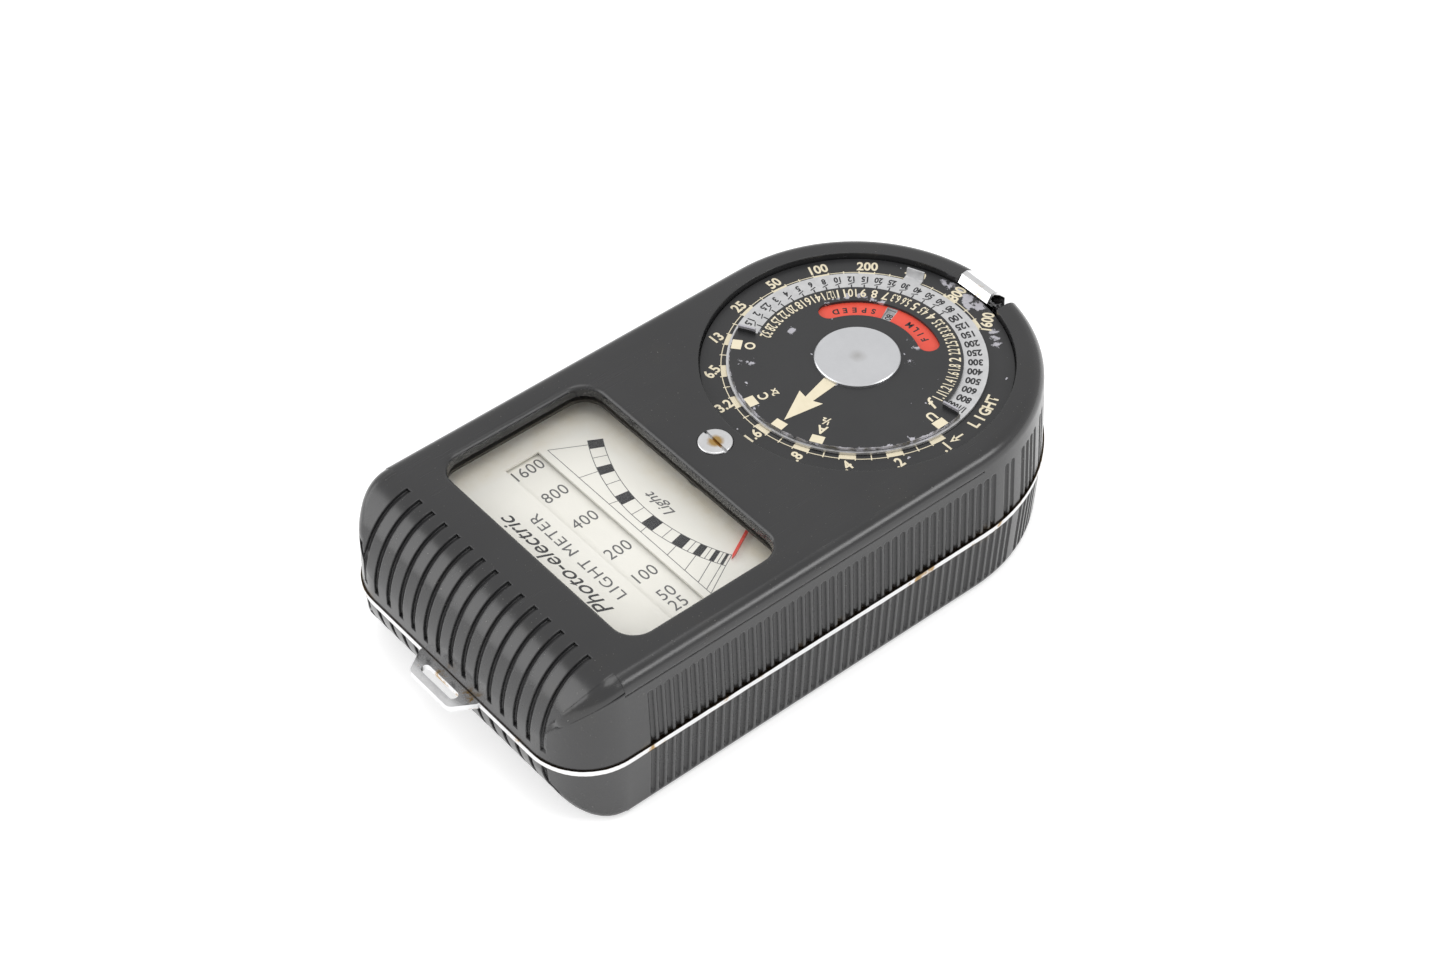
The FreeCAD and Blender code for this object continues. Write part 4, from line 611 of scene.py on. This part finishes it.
arrow = dial_marks.faces.new(corners)
bmesh.ops.triangulate(dial_marks, faces=[arrow])
upward(dial_marks)
as_object(dial_marks, "exposure_dial_marks", "exposure_dial", cream)

cap = Finish("spun_cap", Metallic=1.0)
swirl = cap.node("ShaderNodeTexWave", {"wave_type": "RINGS", "rings_direction": "Z"}, {
    "Vector": cap.shifted(-DIAL[0] * MM, -DIAL[1] * MM), "Scale": 900.0, "Distortion": 1.5,
    "Detail": 2.0}, output="Fac")
from_centre = cap.radius(*DIAL) + cap.noise(500.0, 3.0) * (1.0 * MM)
centre_wear = 1.0 - cap.window(from_centre, 0.5 * MM, 2.2 * MM)
spun = cap.mix(cap.noise(220.0, 5.0, 0.7), (0.57, 0.575, 0.59, 1), (0.67, 0.675, 0.69, 1))
cap.put("Base Color", cap.mix(centre_wear * 0.6, spun, (0.34, 0.33, 0.31, 1)))
cap.put("Roughness", cap.window(swirl, 0.0, 1.0, 0.36, 0.44))
cap.bump(swirl, 0.006 * MM, 0.4)
smoothed("hub_cap", "exposure_dial", cap)

# ------------------------------------------------------------ dial latch
# A bent strip of plated spring steel in a notch of the rim. It hooks over the
# light ring's edge and is pushed aside against a small spring.
smoothed("dial_latch", "dial_latch", plating, 20.0)

# ------------------------------------------------------------ back of the meter
# A round perforated baffle hinged over the photocell, with a lens window behind
# it, and four slotted screws that hold the shells together.
smoothed("baffle_door", "baffle_door", phenolic, SHELL_CREASE)
lens = Finish("cell_window", Roughness=0.08, IOR=1.5)
lens.put("Base Color", lens.mix(lens.noise(300.0, 3.0), (0.09, 0.10, 0.11, 1), (0.16, 0.17, 0.18, 1)))
smoothed("lens_glass", "case", lens)


def plain_metal(name, low, high, rough_low, rough_high, grain=600.0):
    """Bare or plated metal with a mottled tone and uneven polish."""
    finish = Finish(name, Metallic=1.0)
    mottle = finish.noise(grain, 5.0, 0.65)
    finish.put("Base Color", finish.mix(mottle, low + (1,), high + (1,)))
    finish.put("Roughness", finish.window(mottle, 0.3, 0.7, rough_low, rough_high))
    finish.bump(mottle, 0.01 * MM, 0.3)
    return finish


steel = plain_metal("plain_steel", (0.36, 0.36, 0.37), (0.55, 0.55, 0.56), 0.25, 0.42)
brass = plain_metal("plain_brass", (0.50, 0.36, 0.15), (0.70, 0.52, 0.24), 0.25, 0.42)
sheet_metal = plain_metal("sheet_aluminium", (0.58, 0.58, 0.59), (0.74, 0.74, 0.75), 0.35, 0.5)
iron = plain_metal("magnet_iron", (0.07, 0.07, 0.075), (0.14, 0.14, 0.145), 0.45, 0.6, 300.0)
board = Finish("insulating_board", Roughness=0.7)
board.put("Base Color", board.mix(board.noise(400.0, 5.0), (0.34, 0.22, 0.12, 1), (0.48, 0.34, 0.2, 1)))
finishes = {
    "steel": steel, "brass_parts": brass, "aluminium_sheet": sheet_metal, "magnet_iron": iron,
    "cream_plastic": board, "gasket": rubber,
}
for row in frame["record"]["subparts"]:
    if row["material_slot"] in finishes:
        node = frame["nodes"][row["node"]]
        give(node, finishes[row["material_slot"]])

# ------------------------------------------------------------ studio
# A sheet of pale paper under one large soft light overhead. Two weaker soft
# lights, off the square end and off the far side, keep the black case readable.
FLOOR_SIZE = 3.0
PAPER_GLOW = 0.38
ROOM_LIGHT = 0.85
floor_shape = bmesh.new()
bmesh.ops.create_grid(floor_shape, x_segments=1, y_segments=1, size=FLOOR_SIZE)
floor_mesh = bpy.data.meshes.new("floor")
floor_shape.to_mesh(floor_mesh)
floor_shape.free()
floor = bpy.data.objects.new("floor", floor_mesh)
bpy.context.scene.collection.objects.link(floor)
paper = Finish("pale_paper", Roughness=0.9, Base_Color=(0.9, 0.9, 0.9, 1), Emission_Color=(1, 1, 1, 1),
               Emission_Strength=PAPER_GLOW)
give(floor, paper)

world = bpy.data.worlds.new("studio")
world.use_nodes = True
world.node_tree.nodes["Background"].inputs["Color"].default_value = (1, 1, 1, 1)
world.node_tree.nodes["Background"].inputs["Strength"].default_value = ROOM_LIGHT
bpy.context.scene.world = world
bpy.context.scene.view_settings.view_transform = "Standard"


def soft_light(name, power, size, place, target=(0, 0, 0.015)):
    data = bpy.data.lights.new(name, "AREA")
    data.energy = power
    data.shape = "RECTANGLE"
    data.size, data.size_y = size
    lamp = bpy.data.objects.new(name, data)
    bpy.context.scene.collection.objects.link(lamp)
    lamp.location = place
    lamp.rotation_euler = (Vector(target) - Vector(place)).to_track_quat("-Z", "Y").to_euler()


soft_light("overhead", 3.5, (0.8, 0.6), (0.05, 0.1, 1.2))
soft_light("end_light", 5.5, (1.1, 0.75), (-0.60, -0.72, 0.42))
soft_light("side_light", 2.2, (0.45, 0.3), (0.75, 0.49, 0.56))
